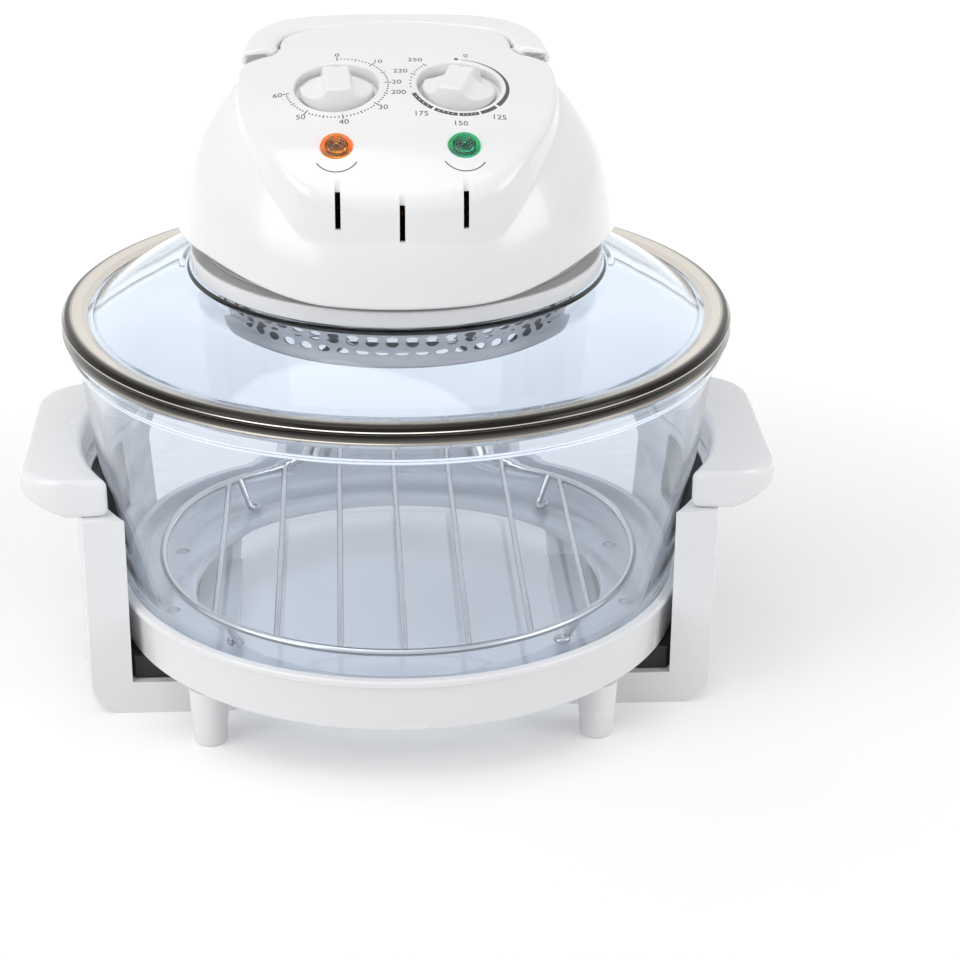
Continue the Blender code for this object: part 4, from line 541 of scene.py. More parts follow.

# %% [markdown]
# Glass is a closed shell with a real wall, so light bends on its way in and out as it does in the bowl.
# Light that is bent makes no clear shadow ray, and the things inside would go dark, so shadow rays pass
# the glass as if it were clear film. Both glasses are tinted blue in their colour, the lid's more deeply
# than the bowl's.

# %% Clear finishes
SMEAR_SCALE = 9.0
SMEAR_DETAIL = 4.0
GLASS_INDEX = 1.47
QUARTZ_INDEX = 1.46
LENS_INDEX = 1.49


def clear(name, colour, roughness, index, smears=0.02, through=(1.0, 1.0, 1.0)):
    """A clear finish: bent light for the eye, a tinted film for shadow rays, faint smears in its gloss."""
    finish, tree, shader, vector = new_finish(name)
    shader.inputs["Base Color"].default_value = (*colour, 1.0)
    shader.inputs["Transmission Weight"].default_value = 1.0
    shader.inputs["IOR"].default_value = index
    smear = noise_node(tree, vector, SMEAR_SCALE, SMEAR_DETAIL)
    gloss = math_node(tree, "ADD", math_node(tree, "MULTIPLY", smear, smears), roughness)
    tree.links.new(gloss, shader.inputs["Roughness"])
    film = tree.nodes.new("ShaderNodeBsdfTransparent")
    film.inputs["Color"].default_value = (*through, 1.0)
    choice = tree.nodes.new("ShaderNodeMixShader")
    tree.links.new(tree.nodes.new("ShaderNodeLightPath").outputs["Is Shadow Ray"], choice.inputs["Fac"])
    tree.links.new(shader.outputs[0], choice.inputs[1])
    tree.links.new(film.outputs[0], choice.inputs[2])
    tree.links.new(choice.outputs[0], tree.nodes["Material Output"].inputs["Surface"])
    return finish


finishes["glass"] = clear("heat-proof bowl glass", (0.89, 0.925, 0.975), 0.0, GLASS_INDEX,
                          through=(0.97, 0.98, 1.0))
lid_glass = clear("lid glass", (0.775, 0.84, 0.91), 0.0, GLASS_INDEX, through=(0.96, 0.975, 1.0))
finishes["quartz"] = clear("frosted quartz tube", (0.95, 0.93, 0.88), 0.12, QUARTZ_INDEX, smears=0.1)
finishes["orange_lens"] = clear("orange lens", (0.93, 0.36, 0.03), 0.10, LENS_INDEX, through=(1.0, 0.5, 0.2))
finishes["green_lens"] = clear("green lens", (0.01, 0.50, 0.27), 0.10, LENS_INDEX, through=(0.2, 0.9, 0.5))
print("all finishes:", sorted(finishes))

# %% [markdown]
# Each fine surface stands for one or more nodes of the working model. It takes its moving body and its
# slot from the node, so that the lid's glass rises with the lid and a knob turns with its dial.

# %% Putting pieces in the scene
def shown(mesh, name, finish):
    """Puts a mesh in the scene as an object with one finish, and prints its size."""
    mesh.materials.clear()
    mesh.materials.append(finish)
    mesh.polygons.foreach_set("material_index", np.zeros(len(mesh.polygons), dtype=np.int32))
    made = bpy.data.objects.new(name, mesh)
    bpy.context.scene.collection.objects.link(made)
    points = np.zeros(3 * len(mesh.vertices))
    mesh.vertices.foreach_get("co", points)
    millimetres = 1000 * np.ptp(points.reshape(-1, 3), axis=0)
    print(made.name, "faces", len(mesh.polygons), "mm", millimetres.round(1))
    return made


def dressed(mesh, node, finish=None):
    """Shows a mesh in place of a node, with its body and slot, and the slot's finish or a given one."""
    made = shown(mesh, f"{node}_surface", finish or finishes[slot_of[node]])
    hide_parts(node)
    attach(made, body_of(frame["nodes"][node])[0])
    return made


def softened(piece, width, segments, angle=40.0):
    """Rounds a piece's sharp edges with a bevel."""
    rounding = piece.modifiers.new("rounding", "BEVEL")
    rounding.width = width
    rounding.segments = segments
    rounding.limit_method = "ANGLE"
    rounding.angle_limit = np.radians(angle)
    rounding.harden_normals = True


# %% [markdown]
# The bowl is blown glass with a thick rolled rim. It could be one offset curve, but the rim is a form of
# its own, so the side is a smooth curve through a few shares of the bowl's size, its inside is the same
# curve moved in by the wall, and the rim is drawn with rounded corners between them.

# %% Glass bowl
BOWL_WALL = 0.0045
BOWL_FLOOR = 0.0050
BOWL_FOOT_SHARE = 0.66
BOWL_SIDE_RADIUS_SHARES = (0.76, 0.8306, 0.860, 0.8694, 0.8953, 0.9388, 0.9718, 0.984)
BOWL_SIDE_HEIGHT_SHARES = (0.003, 0.028, 0.074, 0.134, 0.305, 0.612, 0.880, 0.934)
BOWL_SIDE_STEPS = 60
RIM_WIDTH = 0.0085
RIM_HEIGHT = 0.0098
RIM_FOOT_ROUND = 0.0015
RIM_LOW_ROUND = 0.0022
RIM_TOP_ROUND = 0.0026
RIM_INNER_ROUND = 0.0024


def offset_curve(points, distance):
    """A curve moved sideways: each point goes along the left normal of the curve's slope."""
    slope = np.gradient(points, axis=0)
    slope /= np.linalg.norm(slope, axis=1, keepdims=True)
    return points + distance * np.stack([-slope[:, 1], slope[:, 0]], axis=1)


bowl_low, bowl_high = box_of("glass_bowl")
rim_radius, bowl_base, bowl_top = bowl_high[0], bowl_low[2], bowl_high[2]
bowl_height = bowl_top - bowl_base
side_points = [(share * rim_radius, bowl_base + rise * bowl_height)
               for share, rise in zip(BOWL_SIDE_RADIUS_SHARES, BOWL_SIDE_HEIGHT_SHARES)]
bowl_side = smooth_curve([(BOWL_FOOT_SHARE * rim_radius, bowl_base)] + side_points, BOWL_SIDE_STEPS)
bowl_inside = offset_curve(bowl_side, BOWL_WALL)
bowl_inside[:, 1] = np.maximum(bowl_inside[:, 1], bowl_base + BOWL_FLOOR)
rim_base = bowl_top - RIM_HEIGHT
rim = [(rim_radius - RIM_WIDTH / 3, rim_base, RIM_FOOT_ROUND),
       (rim_radius, rim_base + RIM_WIDTH / 8, RIM_LOW_ROUND),
       (rim_radius, bowl_top, RIM_TOP_ROUND), (rim_radius - RIM_WIDTH, bowl_top, RIM_INNER_ROUND)]
bowl_profile = rounded([(0, bowl_base, 0)] + sharp(bowl_side) + rim + sharp(bowl_inside[::-1])
                       + [(0, bowl_base + BOWL_FLOOR, 0)])
dressed(turned("glass bowl", bowl_profile), "glass_bowl")

# %% [markdown]
# The lid is a shallow glass dome with a hole for the heater. Its edge runs into a steel band, and a small
# step near the hole seats the white collar. The dome's underside follows its top, so both come from one
# curve.

# %% Lid glass
LID_WALL = 0.0050
LID_STEP = 0.0008
LID_HOLE = 0.0905
LID_SEAT = 0.0160
LID_EDGE_IN_BAND = 0.0143
LID_UNDER_SHARE = 0.95
LID_EDGE_ROUND = 0.0012
LID_STEP_ROUND = 0.0008
LID_UNDER_ROUND = 0.0020
DOME_STEPS = 40
LID_CURVE_SHARES = (0.0, 0.16, 0.38, 0.66, 1.0)
LID_RISE_SHARES = (0.0, 0.26, 0.56, 0.83, 1.0)

lid_low, lid_high = box_of("glass_lid")
band_low, band_high = box_of("lid_band")
lid_edge_top = lid_low[2] + LID_WALL
dome_start, dome_end = band_high[0] - LID_EDGE_IN_BAND, LID_HOLE + LID_SEAT + LID_STEP
dome = smooth_curve([(dome_start + out * (dome_end - dome_start),
                      lid_edge_top + rise * (lid_high[2] - LID_STEP - lid_edge_top))
                     for out, rise in zip(LID_CURVE_SHARES, LID_RISE_SHARES)], DOME_STEPS)
under = offset_curve(dome, LID_WALL * LID_UNDER_SHARE)
under[:, 1] = np.maximum(under[:, 1], lid_low[2])
seat_edge, seat_under = LID_HOLE + LID_SEAT, lid_high[2] - LID_WALL
lid_profile = rounded(
    [(lid_high[0], lid_low[2], LID_EDGE_ROUND), (lid_high[0], lid_edge_top, LID_EDGE_ROUND)]
    + sharp(dome[1:])
    + [(seat_edge, lid_high[2], LID_STEP_ROUND), (LID_HOLE, lid_high[2], LID_EDGE_ROUND),
       (LID_HOLE, seat_under, LID_EDGE_ROUND), (seat_edge, seat_under, LID_UNDER_ROUND)]
    + sharp(under[-4::-1]))
dressed(turned("lid glass", lid_profile), "glass_lid", lid_glass)

# %% [markdown]
# The band is folded from thin polished strip: a flat lip on the glass, a round shoulder, a raised bead
# below it and a plain wall down to a turned-in foot. A lathe profile with these few corners gives every
# bright and dark line that the eye reads as rolled steel.

# %% Lid band
BAND_WIDTH = 0.0135
BAND_SKIN = 0.0008
BAND_EDGE_ROUND = 0.0003
LIP_GAP = 0.0003
LIP_ROUND = 0.0004
LIP_REACH = 0.0035
LIP_RISE = 0.0024
LIP_BEND = 0.0015
SHOULDER_IN = 0.0052
SHOULDER_OUT = 0.0018
SHOULDER_FALL = 0.0008
SHOULDER_ROUND = 0.0020
SHOULDER_INNER_ROUND = 0.0010
SHOULDER_SKIN = 0.0009
LIP_SKIN = 0.0010
BEAD_DROP = 0.0037
BEAD_PROUD = 0.0006
BEAD_HALF = 0.0005
BEAD_FOOT_HALF = 0.0009
BEAD_ROUND = 0.0005
FOOT_PROUND = 0.0005
FOOT_HEIGHT = 0.0007
FOOT_LEAD = 0.0005
FOOT_TURN_IN = 0.0105
WALL_SET_BACK = 0.0014
WALL_FOOT_ROUND = 0.0006
WALL_TOP_ROUND = 0.0008

band_radius, band_base, band_top = band_high[0], band_low[2], band_high[2]
band_inner = band_radius - BAND_WIDTH
bead = band_top - BEAD_DROP
band_outside = [
    (band_inner, lid_edge_top + LIP_GAP, 0.0), (band_inner, lid_edge_top + LIP_GAP + BAND_SKIN, LIP_ROUND),
    (band_inner + LIP_REACH, lid_edge_top + LIP_RISE, LIP_BEND),
    (band_radius - SHOULDER_IN, band_top, SHOULDER_ROUND),
    (band_radius - SHOULDER_OUT, band_top - SHOULDER_FALL, SHOULDER_ROUND),
    (band_radius - BEAD_PROUD, bead + BEAD_FOOT_HALF, BEAD_ROUND),
    (band_radius, bead + BEAD_HALF, BAND_EDGE_ROUND), (band_radius, bead - BEAD_HALF, BAND_EDGE_ROUND),
    (band_radius - BEAD_PROUD, bead - BEAD_FOOT_HALF, BAND_EDGE_ROUND),
    (band_radius - FOOT_PROUND, band_base + FOOT_HEIGHT + FOOT_LEAD, BAND_EDGE_ROUND),
    (band_radius, band_base + FOOT_HEIGHT, BAND_EDGE_ROUND), (band_radius, band_base, BAND_EDGE_ROUND)]
band_inside = [
    (band_radius - FOOT_TURN_IN, band_base, BAND_EDGE_ROUND),
    (band_radius - FOOT_TURN_IN, band_base + BAND_SKIN, 0.0),
    (band_radius - WALL_SET_BACK, band_base + BAND_SKIN, WALL_FOOT_ROUND),
    (band_radius - WALL_SET_BACK, lid_edge_top + BAND_SKIN, WALL_TOP_ROUND),
    (band_radius - SHOULDER_IN, band_top - SHOULDER_SKIN, SHOULDER_INNER_ROUND),
    (band_inner + LIP_REACH, lid_edge_top + LIP_RISE - LIP_SKIN, 0.0)]
dressed(turned("lid band", rounded(band_outside + band_inside)), "lid_band")

# %% [markdown]
# The stand's ring is a moulding with a floor under the bowl, a skirt round it and a proud lip at its top.
# Four pockets let screws pull it down on the brackets. The pockets are cut after the turning, because a
# lathe profile can't hold them.

# %% Base ring
RING_EYE = 0.110
RING_FLOOR = 0.0080
RING_EDGE_ROUND = 0.0020
SEAT_GAP = 0.0003
SKIRT_ROOT = 0.0050
SKIRT_THICK = 0.0042
SKIRT_DRAFT = 0.0010
SKIRT_ROOT_ROUND = 0.0010
SKIRT_INNER_ROUND = 0.0004
SKIRT_OUTER_ROUND = 0.0014
RING_LIP_PROUD = 0.0022
RING_LIP_HEIGHT = 0.0034
RING_LIP_SLOPE = 0.0012
RING_LIP_UNDER_ROUND = 0.0008
RING_LIP_ROUND = 0.0013
SOCKET_FLARE = 0.0002
SOCKET_FLARE_ROUND = 0.0005
SOCKET_LEAD = 0.0060
SOCKET_LEAD_DRAFT = 0.0006
SOCKET_LEAD_ROUND = 0.0010
SOCKET_DRAFT = 0.0010
SOCKET_FOOT_HEIGHT = 0.0080
SOCKET_FOOT_REACH = 0.0040
SOCKET_FOOT_ROUND = 0.0030
SCREW_HEAD = 0.0039
SCREW_HEAD_HEIGHT = 0.0022
POCKET_GAP = 0.0006
POCKET_OVERRUN = 0.0040

ring_low, ring_high = box_of("base_ring")
screw_nodes = [f"strap_screw_{end}_{side}" for end in ("front", "rear") for side in ("left", "right")]
screw_middles = [sum(box_of(node))[:2] / 2 for node in screw_nodes]
ring_floor = bowl_base - SEAT_GAP
ring_under, ring_base, ring_top = ring_floor - RING_FLOOR, ring_low[2], ring_high[2]
lip = ring_high[0]
ring_wall = lip - RING_LIP_PROUD
socket = bowl_high[0] * BOWL_SIDE_RADIUS_SHARES[3] + SEAT_GAP
ring_profile = rounded([
    (RING_EYE, ring_under, RING_EDGE_ROUND), (ring_wall - SKIRT_ROOT, ring_under, SKIRT_ROOT_ROUND),
    (ring_wall - SKIRT_THICK, ring_base, SKIRT_INNER_ROUND),
    (ring_wall - SKIRT_DRAFT, ring_base, SKIRT_OUTER_ROUND),
    (ring_wall, ring_top - RING_LIP_HEIGHT - RING_LIP_SLOPE, RING_LIP_UNDER_ROUND),
    (lip, ring_top - RING_LIP_HEIGHT, RING_LIP_UNDER_ROUND), (lip, ring_top, RING_LIP_ROUND),
    (socket + SOCKET_FLARE, ring_top, SOCKET_FLARE_ROUND),
    (socket - SOCKET_LEAD_DRAFT, ring_top - SOCKET_LEAD, SOCKET_LEAD_ROUND),
    (socket - SOCKET_DRAFT, ring_floor + SOCKET_FOOT_HEIGHT, SOCKET_FOOT_ROUND),
    (socket - SOCKET_FOOT_REACH, ring_floor, SOCKET_FOOT_ROUND),
    (RING_EYE, ring_floor, RING_EDGE_ROUND)], steps=8)
ring = turned("base ring", ring_profile)
pocket_floor, pocket_top = ring_floor - SCREW_HEAD_HEIGHT - POCKET_GAP, ring_floor + POCKET_OVERRUN
pocket = [(0, pocket_floor), (SCREW_HEAD, pocket_floor), (SCREW_HEAD, pocket_top), (0, pocket_top)]
pockets = joined("pockets", [placed(turned("pocket", pocket, SMALL_STEPS), Matrix.Translation((x, y, 0)))
                             for x, y in screw_middles])
dressed(tidied(carved(ring, pockets)), "base_ring")

# %% [markdown]
# Four short legs carry the ring. Each is a tapered peg with a rounded foot, so one profile turned about
# each leg's own axis makes all of them.

# %% Legs
LEG_TAPER_SHARE = 0.80
LEG_FOOT_ROUND = 0.0018
LEG_TOP_ROUND = 0.0004
LEG_STEPS = 64

for node in ("leg_front_left", "leg_front_right", "leg_rear_left", "leg_rear_right"):
    leg_low, leg_high = box_of(node)
    foot = (leg_high[0] - leg_low[0]) / 2
    shape = rounded([(0, 0, 0), (foot * LEG_TAPER_SHARE, 0, LEG_FOOT_ROUND),
                     (foot, leg_high[2], LEG_TOP_ROUND), (0, leg_high[2], 0)])
    middle = Matrix.Translation(((leg_low[0] + leg_high[0]) / 2, (leg_low[1] + leg_high[1]) / 2, 0))
    dressed(placed(turned("leg", shape, LEG_STEPS), middle), node)

# %% [markdown]
# Each side bracket is an L: an arm on the table and a post that hugs the bowl. In plan both faces of the
# post bow outward, the inner one more, so that fingers pass behind it. The section changes only with the
# depth, so the bracket is a row of sections along the depth, with its edges rounded by a bevel.

# %% Side brackets
ARM_HEIGHT = 0.018
FOOT_ROUND = 0.016
POST_END_THICK = 0.0212
POST_MIDDLE_THICK = 0.0070
POST_FINGER_ROOM = 0.0069
POST_END_GAP = 0.0008
BRACKET_ROUND = 0.0024
BRACKET_SECTIONS = 41


def bow(end_x, middle_x, half_depth, y):
    """An arc's x at y: middle - R + sqrt(R^2 - y^2), with R from the arc's rise over its half depth."""
    rise = middle_x - end_x
    radius = (half_depth ** 2 + rise ** 2) / (2 * rise)
    return middle_x - radius + np.sqrt(radius ** 2 - np.asarray(y) ** 2)


def bowl_radius_at(height):
    """The bowl's outer radius at a height."""
    return float(np.interp(height, bowl_side[:, 1], bowl_side[:, 0]))


bracket_low, bracket_high = box_of("right_bracket")
half_depth, post_top = bracket_high[1], bracket_high[2]
post_middle = bowl_radius_at(post_top) + POST_FINGER_ROOM
post_end = np.sqrt((bowl_radius_at(post_top) + POST_END_GAP) ** 2 - half_depth ** 2)
depths = half_depth * np.sin(np.linspace(-np.pi / 2, np.pi / 2, BRACKET_SECTIONS))
for side, node in ((-1, "left_bracket"), (1, "right_bracket")):
    inner = bow(post_end, post_middle, half_depth, depths)[:, None]
    outer = bow(post_end + POST_END_THICK, post_middle + POST_MIDDLE_THICK, half_depth, depths)[:, None]
    turn = np.linspace(-np.pi / 2, 0, 13)[None]
    corner_x = outer - FOOT_ROUND + FOOT_ROUND * np.cos(turn)
    corner_z = FOOT_ROUND + FOOT_ROUND * np.sin(turn) + 0 * outer
    arm_x = np.full_like(inner, bracket_low[0])
    section_x = np.concatenate([arm_x, corner_x, outer, inner, inner, arm_x], axis=1)
    flat = np.ones_like(inner)
    section_z = np.concatenate([0 * flat, corner_z, post_top * flat, post_top * flat, ARM_HEIGHT * flat,
                                ARM_HEIGHT * flat], axis=1)
    sections = np.stack([side * section_x, depths[:, None] + 0 * section_x, section_z], axis=-1)
    mesh = sheet_mesh("bracket", sections, capped=True)
    softened(dressed(mesh, node), BRACKET_ROUND, segments=5, angle=45.0)

# %% [markdown]
# A bar with a rounded section lies between two edges in plan, like the grips on the brackets and the
# handle round the panel. It could be an extruded outline with a bevel, but a bevel strains at tight
# corners, so here the section itself is rounded and shrinks over the last few rows to round the bar's ends.

# %% Bars between two edges
EDGE_SAMPLES = 2000
QUARTER_STEPS = 7
MOST_ROUND_SHARE = 0.45


def bar_between(name, inner, outer, floor, top, corner, end, count=120, matched=False):
    """A bar between two edges in plan: inner I and outer O are read at the same share of their lengths,
    or row by row where they are matched already.

    The section is a rectangle with quarter circles of a corner radius. A row's inset i grows from 0 to
    the end radius e over the last e of the bar's length, as i = e (1 - sin b) at e (1 - cos b) from the
    end, which rounds the end. Floor and top are functions of x and y.
    """
    quarter = np.linspace(0, np.pi / 2, QUARTER_STEPS)
    steps = np.linalg.norm(np.diff(inner, axis=0), axis=1)
    along = steps.sum()
    nearing = end * (1 - np.cos(quarter))
    shrink = end * (1 - np.sin(quarter))
    places = np.concatenate([nearing[:-1], np.linspace(end, along - end, count), along - nearing[:-1][::-1]])
    inset = np.concatenate([shrink[:-1], np.zeros(count), shrink[:-1][::-1]])[:, None]
    share = np.concatenate([[0.0], np.cumsum(steps)]) / along
    if not matched:
        share = np.linspace(0, 1, EDGE_SAMPLES)
        inner, outer = evenly(inner, EDGE_SAMPLES), evenly(outer, EDGE_SAMPLES)
    near = np.stack([np.interp(places / along, share, column) for column in inner.T], axis=1)
    far = np.stack([np.interp(places / along, share, column) for column in outer.T], axis=1)
    width = np.linalg.norm(far - near, axis=1, keepdims=True)
    side = np.repeat([0, 1, 1, 0], len(quarter))[None]
    level = np.repeat([0, 0, 1, 1], len(quarter))[None]
    turn = (quarter[None] + np.pi / 2 * np.array([2, 3, 0, 1])[:, None]).reshape(1, -1)
    soft = np.minimum(corner, MOST_ROUND_SHARE * (width - 2 * inset))
    across = inset + side * (width - 2 * inset) + soft * (1 - 2 * side + np.cos(turn))
    plan = near[:, None] + ((far - near) / width)[:, None] * across[..., None]
    low, high = floor(plan[..., 0], plan[..., 1]), top(plan[..., 0], plan[..., 1])
    height = low + inset + level * (high - low - 2 * inset) + soft * (1 - 2 * level + np.sin(turn))
    return sheet_mesh(name, np.concatenate([plan, height[..., None]], axis=-1), capped=True)


print("a bar's section has", 4 * QUARTER_STEPS, "points")

# %% [markdown]
# A grip is an ear on top of its bracket, wide at the middle and hollowed towards the bowl, with an
# underside that rises a little towards the tip for the fingers.

# %% Side grips
GRIP_CORNER = 0.026
GRIP_TIP_RISE = 0.0060
GRIP_TOP_FALL = 0.0012
GRIP_HOLLOW_ROOM = 0.0068
GRIP_ROUND = 0.0042

grip_low, grip_high = box_of("right_grip")
grip_depth, tip = grip_high[1], grip_high[0]
root = post_middle + POST_MIDDLE_THICK
grip_y = grip_depth * np.sin(np.linspace(-np.pi / 2, np.pi / 2, 121))
grip_middle = bowl_radius_at(grip_high[2]) + GRIP_HOLLOW_ROOM
grip_inner = np.stack([bow(grip_low[0], grip_middle, grip_depth, grip_y), grip_y], axis=1)
turn = np.linspace(-np.pi / 2, 0, 40)
corner_front = np.stack([tip - GRIP_CORNER + GRIP_CORNER * np.cos(turn),
                         GRIP_CORNER - grip_depth + GRIP_CORNER * np.sin(turn)], axis=1)
grip_outer = np.concatenate([corner_front, corner_front[::-1] * (1, -1)])


def way_to_tip(x):
    """The share of the way from the grip's root to its tip."""
    return np.clip((np.abs(x) - root) / (tip - root), 0, 1)


def grip_floor(x, y):
    """The grip's underside: level at its root, then rising evenly to the tip."""
    return grip_low[2] + GRIP_TIP_RISE * way_to_tip(x)


def grip_top(x, y):
    """The grip's top: it falls with the cube of the way to the tip, so that most of it is level."""
    return grip_high[2] - GRIP_TOP_FALL * way_to_tip(x) ** 3


for side, node in ((-1, "left_grip"), (1, "right_grip")):
    mesh = bar_between("grip", grip_inner, grip_outer, grip_floor, grip_top, GRIP_ROUND, GRIP_ROUND)
    mesh.transform(Matrix.Diagonal((side, 1, 1, 1)))
    dressed(tidied(mesh), node)

# %% [markdown]
# A black strap lies between each bracket's arm and the ring, and a thin dark strip lines each post beside
# the glass. Both are soft black parts that were cut or moulded flat, so they are an outline in plan with
# two levels and a small rounding.

# %% Straps and liners
STRAP_GAP = 0.0012
STRAP_ROUND = 0.0008
LINER_GAP = 0.0003
LINER_THICK = 0.0015
LINER_ROUND = 0.0003


def slab(name, outline, low, high):
    """An outline in plan carried from one height to another."""
    outline = np.asarray(outline, float)
    levels = np.array([low, high])[:, None, None]
    rows = np.concatenate([np.broadcast_to(outline, (2, *outline.shape)),
                           np.broadcast_to(levels, (2, len(outline), 1))], axis=-1)
    return sheet_mesh(name, rows, capped=True)


strap_low, strap_high = box_of("right_strap")
liner_low, liner_high = box_of("right_liner")
for side, word in ((-1, "left"), (1, "right")):
    strap_y = strap_high[1] * np.sin(np.linspace(-np.pi / 2, np.pi / 2, 61))
    strap_x = bow(post_end, post_middle, half_depth, strap_y * half_depth / strap_high[1]) - STRAP_GAP
    edge = np.stack([side * strap_x, strap_y], axis=1)
    back = [(side * strap_low[0], strap_high[1]), (side * strap_low[0], strap_low[1])]
    strap = slab("strap", np.concatenate([edge, back]), strap_low[2], strap_high[2])
    softened(dressed(strap, f"{word}_strap"), STRAP_ROUND, segments=3)
    liner_y = np.linspace(liner_low[1], liner_high[1], 41)
    liner_x = bow(post_end, post_middle, half_depth, liner_y) - LINER_GAP
    outline = np.concatenate([np.stack([side * liner_x, liner_y], axis=1),
                              np.stack([side * (liner_x - LINER_THICK), liner_y], axis=1)[::-1]])
    liner = slab("liner", outline, liner_low[2], liner_high[2])
    softened(dressed(liner, f"{word}_liner"), LINER_ROUND, segments=2)

# %% [markdown]
# The collar is a plain white ring that lies on the glass round its hole. It shows as a flat step with soft
# edges, so it is a turned section of four corners.

# %% Collar
COLLAR_GAP = 0.0010
COLLAR_INNER_ROUND = 0.0006
COLLAR_OUTER_ROUND = 0.0012

collar_low, collar_high = box_of("collar_ring")
collar_radius, collar_base, collar_top = collar_high[0], collar_low[2], collar_high[2]
collar_inner = LID_HOLE + COLLAR_GAP
collar_profile = rounded([
    (collar_inner, collar_base, COLLAR_INNER_ROUND), (collar_radius, collar_base, COLLAR_OUTER_ROUND),
    (collar_radius, collar_top, COLLAR_OUTER_ROUND), (collar_inner, collar_top, COLLAR_INNER_ROUND)], steps=8)
dressed(turned("collar", collar_profile), "collar_ring")

# %% [markdown]
# The head's base stands on the collar: a floor, a wall set back under the cover, and a rim that carries the
# cover. Ten upright vents with round ends are cut through the wall, five on each side of the front. They
# could be painted dark, but then no light would come through them.

# %% Head base
TRAY_WALL = 0.0022
TRAY_FLOOR = 0.0026
TRAY_SET_BACK = 0.0092
VENT_COUNT = 5
VENT_FIRST_ANGLE = 52.0
VENT_STEP_ANGLE = 6.3
VENT_WIDTH = 0.0026
VENT_HEIGHT = 0.0065
VENT_SILL = 0.0007
VENT_OVERRUN = 0.0010
SHAFT_HOLE = 0.0050
TRAY_STEP = 0.0012
TRAY_FOOT_ROUND = 0.0006
TRAY_EDGE_ROUND = 0.0005
TRAY_CORNER_ROUND = 0.0010

tray_low, tray_high = box_of("head_base")
tray_radius, tray_rim = collar_radius - TRAY_SET_BACK, tray_high[0]
tray_floor = tray_low[2] + TRAY_FLOOR
tray_base, tray_top = tray_low[2], tray_high[2]
tray_profile = rounded([
    (SHAFT_HOLE, tray_base, 0.0), (tray_radius + TRAY_WALL, tray_base, TRAY_FOOT_ROUND),
    (tray_radius + TRAY_WALL, tray_floor - TRAY_STEP, TRAY_EDGE_ROUND),
    (tray_radius, tray_floor, TRAY_CORNER_ROUND), (tray_radius, tray_top - TRAY_WALL, TRAY_CORNER_ROUND),
    (tray_rim, tray_top - TRAY_WALL, TRAY_EDGE_ROUND), (tray_rim, tray_top, TRAY_EDGE_ROUND),
    (tray_radius - TRAY_WALL, tray_top, TRAY_EDGE_ROUND),
    (tray_radius - TRAY_WALL, tray_floor, TRAY_CORNER_ROUND), (SHAFT_HOLE, tray_floor, 0.0)])
tray = turned("head base", tray_profile)


def stadium(width, height, count=12):
    """An upright outline with half-circle ends, as (across, up) about its centre."""
    turn = np.linspace(0, np.pi, count)
    arch = np.stack([width / 2 * np.cos(turn), height / 2 - width / 2 + width / 2 * np.sin(turn)], axis=1)
    return np.concatenate([arch, -arch])


def blade(name, outline, near, far):
    """A tool with an upright outline, reaching from near to far along -Y."""
    outline = np.asarray(outline, float)
    rows = np.stack([np.stack([outline[:, 0], np.full(len(outline), -y), outline[:, 1]], axis=1)
                     for y in (near, far)])
    return sheet_mesh(name, rows, capped=True)


vents = []
for side in (-1, 1):
    for index in range(VENT_COUNT):
        angle = np.radians(side * (VENT_FIRST_ANGLE + index * VENT_STEP_ANGLE))
        tool = blade("vent", stadium(VENT_WIDTH, VENT_HEIGHT), tray_radius - 2 * TRAY_WALL,
                     tray_radius + VENT_OVERRUN)
        up = Matrix.Translation((0, 0, tray_floor + VENT_SILL + VENT_HEIGHT / 2))
        vents.append(placed(tool, Matrix.Rotation(angle, 4, "Z") @ up))
dressed(tidied(carved(tray, joined("vents", vents))), "head_base")

# %% [markdown]
# The head's cover is one moulding: a bell with a wavy lower edge, and on it a raised control panel shaped
# like a shield. It could be two solids joined by a boolean, but the soft hollow between panel and bell
# would be hard to get. Seen from above, the panel's outline is met once by every ray from the oven's axis,
# so the whole cover can be one sheet: each column is a ray, and each row a step of the way over the panel,
# round its edge, down its wall, through a hollow, down the bell, round the rim and back up inside.

# %% Cover sizes and curves
COVER_WALL = 0.0025
PANEL_CREST = 0.0129
BELL_EDGE_WAVE = 0.0105
WAVE_START_ANGLE = 18.0
WAVE_END_ANGLE = 62.0
BELL_RADIUS_SHARES = (0.0, 0.269, 0.527, 0.700, 0.762, 0.802, 0.880, 0.934, 0.975, 1.0)
BELL_DROP_SHARES = (0.0, 0.003, 0.033, 0.095, 0.176, 0.248, 0.420, 0.579, 0.778, 1.0)
PANEL_HALF_WIDTH = 0.0785
PANEL_BACK = 0.0455
PANEL_FRONT_SET_BACK = 0.0066
PANEL_CROWN_DROP = 0.0060
PANEL_FALL = 0.0500
PANEL_FRONT_WIDTH_SHARES = (0.06, 0.24, 0.44, 0.60, 0.75, 0.88, 0.96, 1.0)
PANEL_FRONT_REACH_SHARES = (1.0, 0.988, 0.953, 0.900, 0.785, 0.615, 0.46, 0.28)
PANEL_BACK_WIDTH_SHARES = (0.998, 0.992, 0.966, 0.885, 0.80, 0.748, 0.735, 0.705, 0.62, 0.36, 0.06)
PANEL_BACK_REACH_SHARES = (-0.44, -0.22, -0.075, 0.015, 0.055, 0.16, 0.40, 0.62, 0.78, 0.93, 1.0)
PANEL_PROFILE_SHARES = (0.0, 0.223, 0.535, 0.70, 0.814, 0.887, 0.953, 1.0)
PANEL_FALL_SHARES = (0.0, 0.024, 0.24, 0.438, 0.574, 0.712, 0.872, 1.0)
COLUMNS = 320
CURVE_STEPS = 400
BELL_STEPS = 1200
LEAST_SQUARENESS = 0.55

cover_low, cover_high = box_of("head_cover")
bell_radius, bell_edge, panel_crest = cover_high[0], cover_low[2], cover_high[2]
bell_top = panel_crest - PANEL_CREST
panel_front = bell_radius - PANEL_FRONT_SET_BACK
fall_curve = smooth_curve(np.stack([PANEL_PROFILE_SHARES, PANEL_FALL_SHARES], axis=1), CURVE_STEPS)


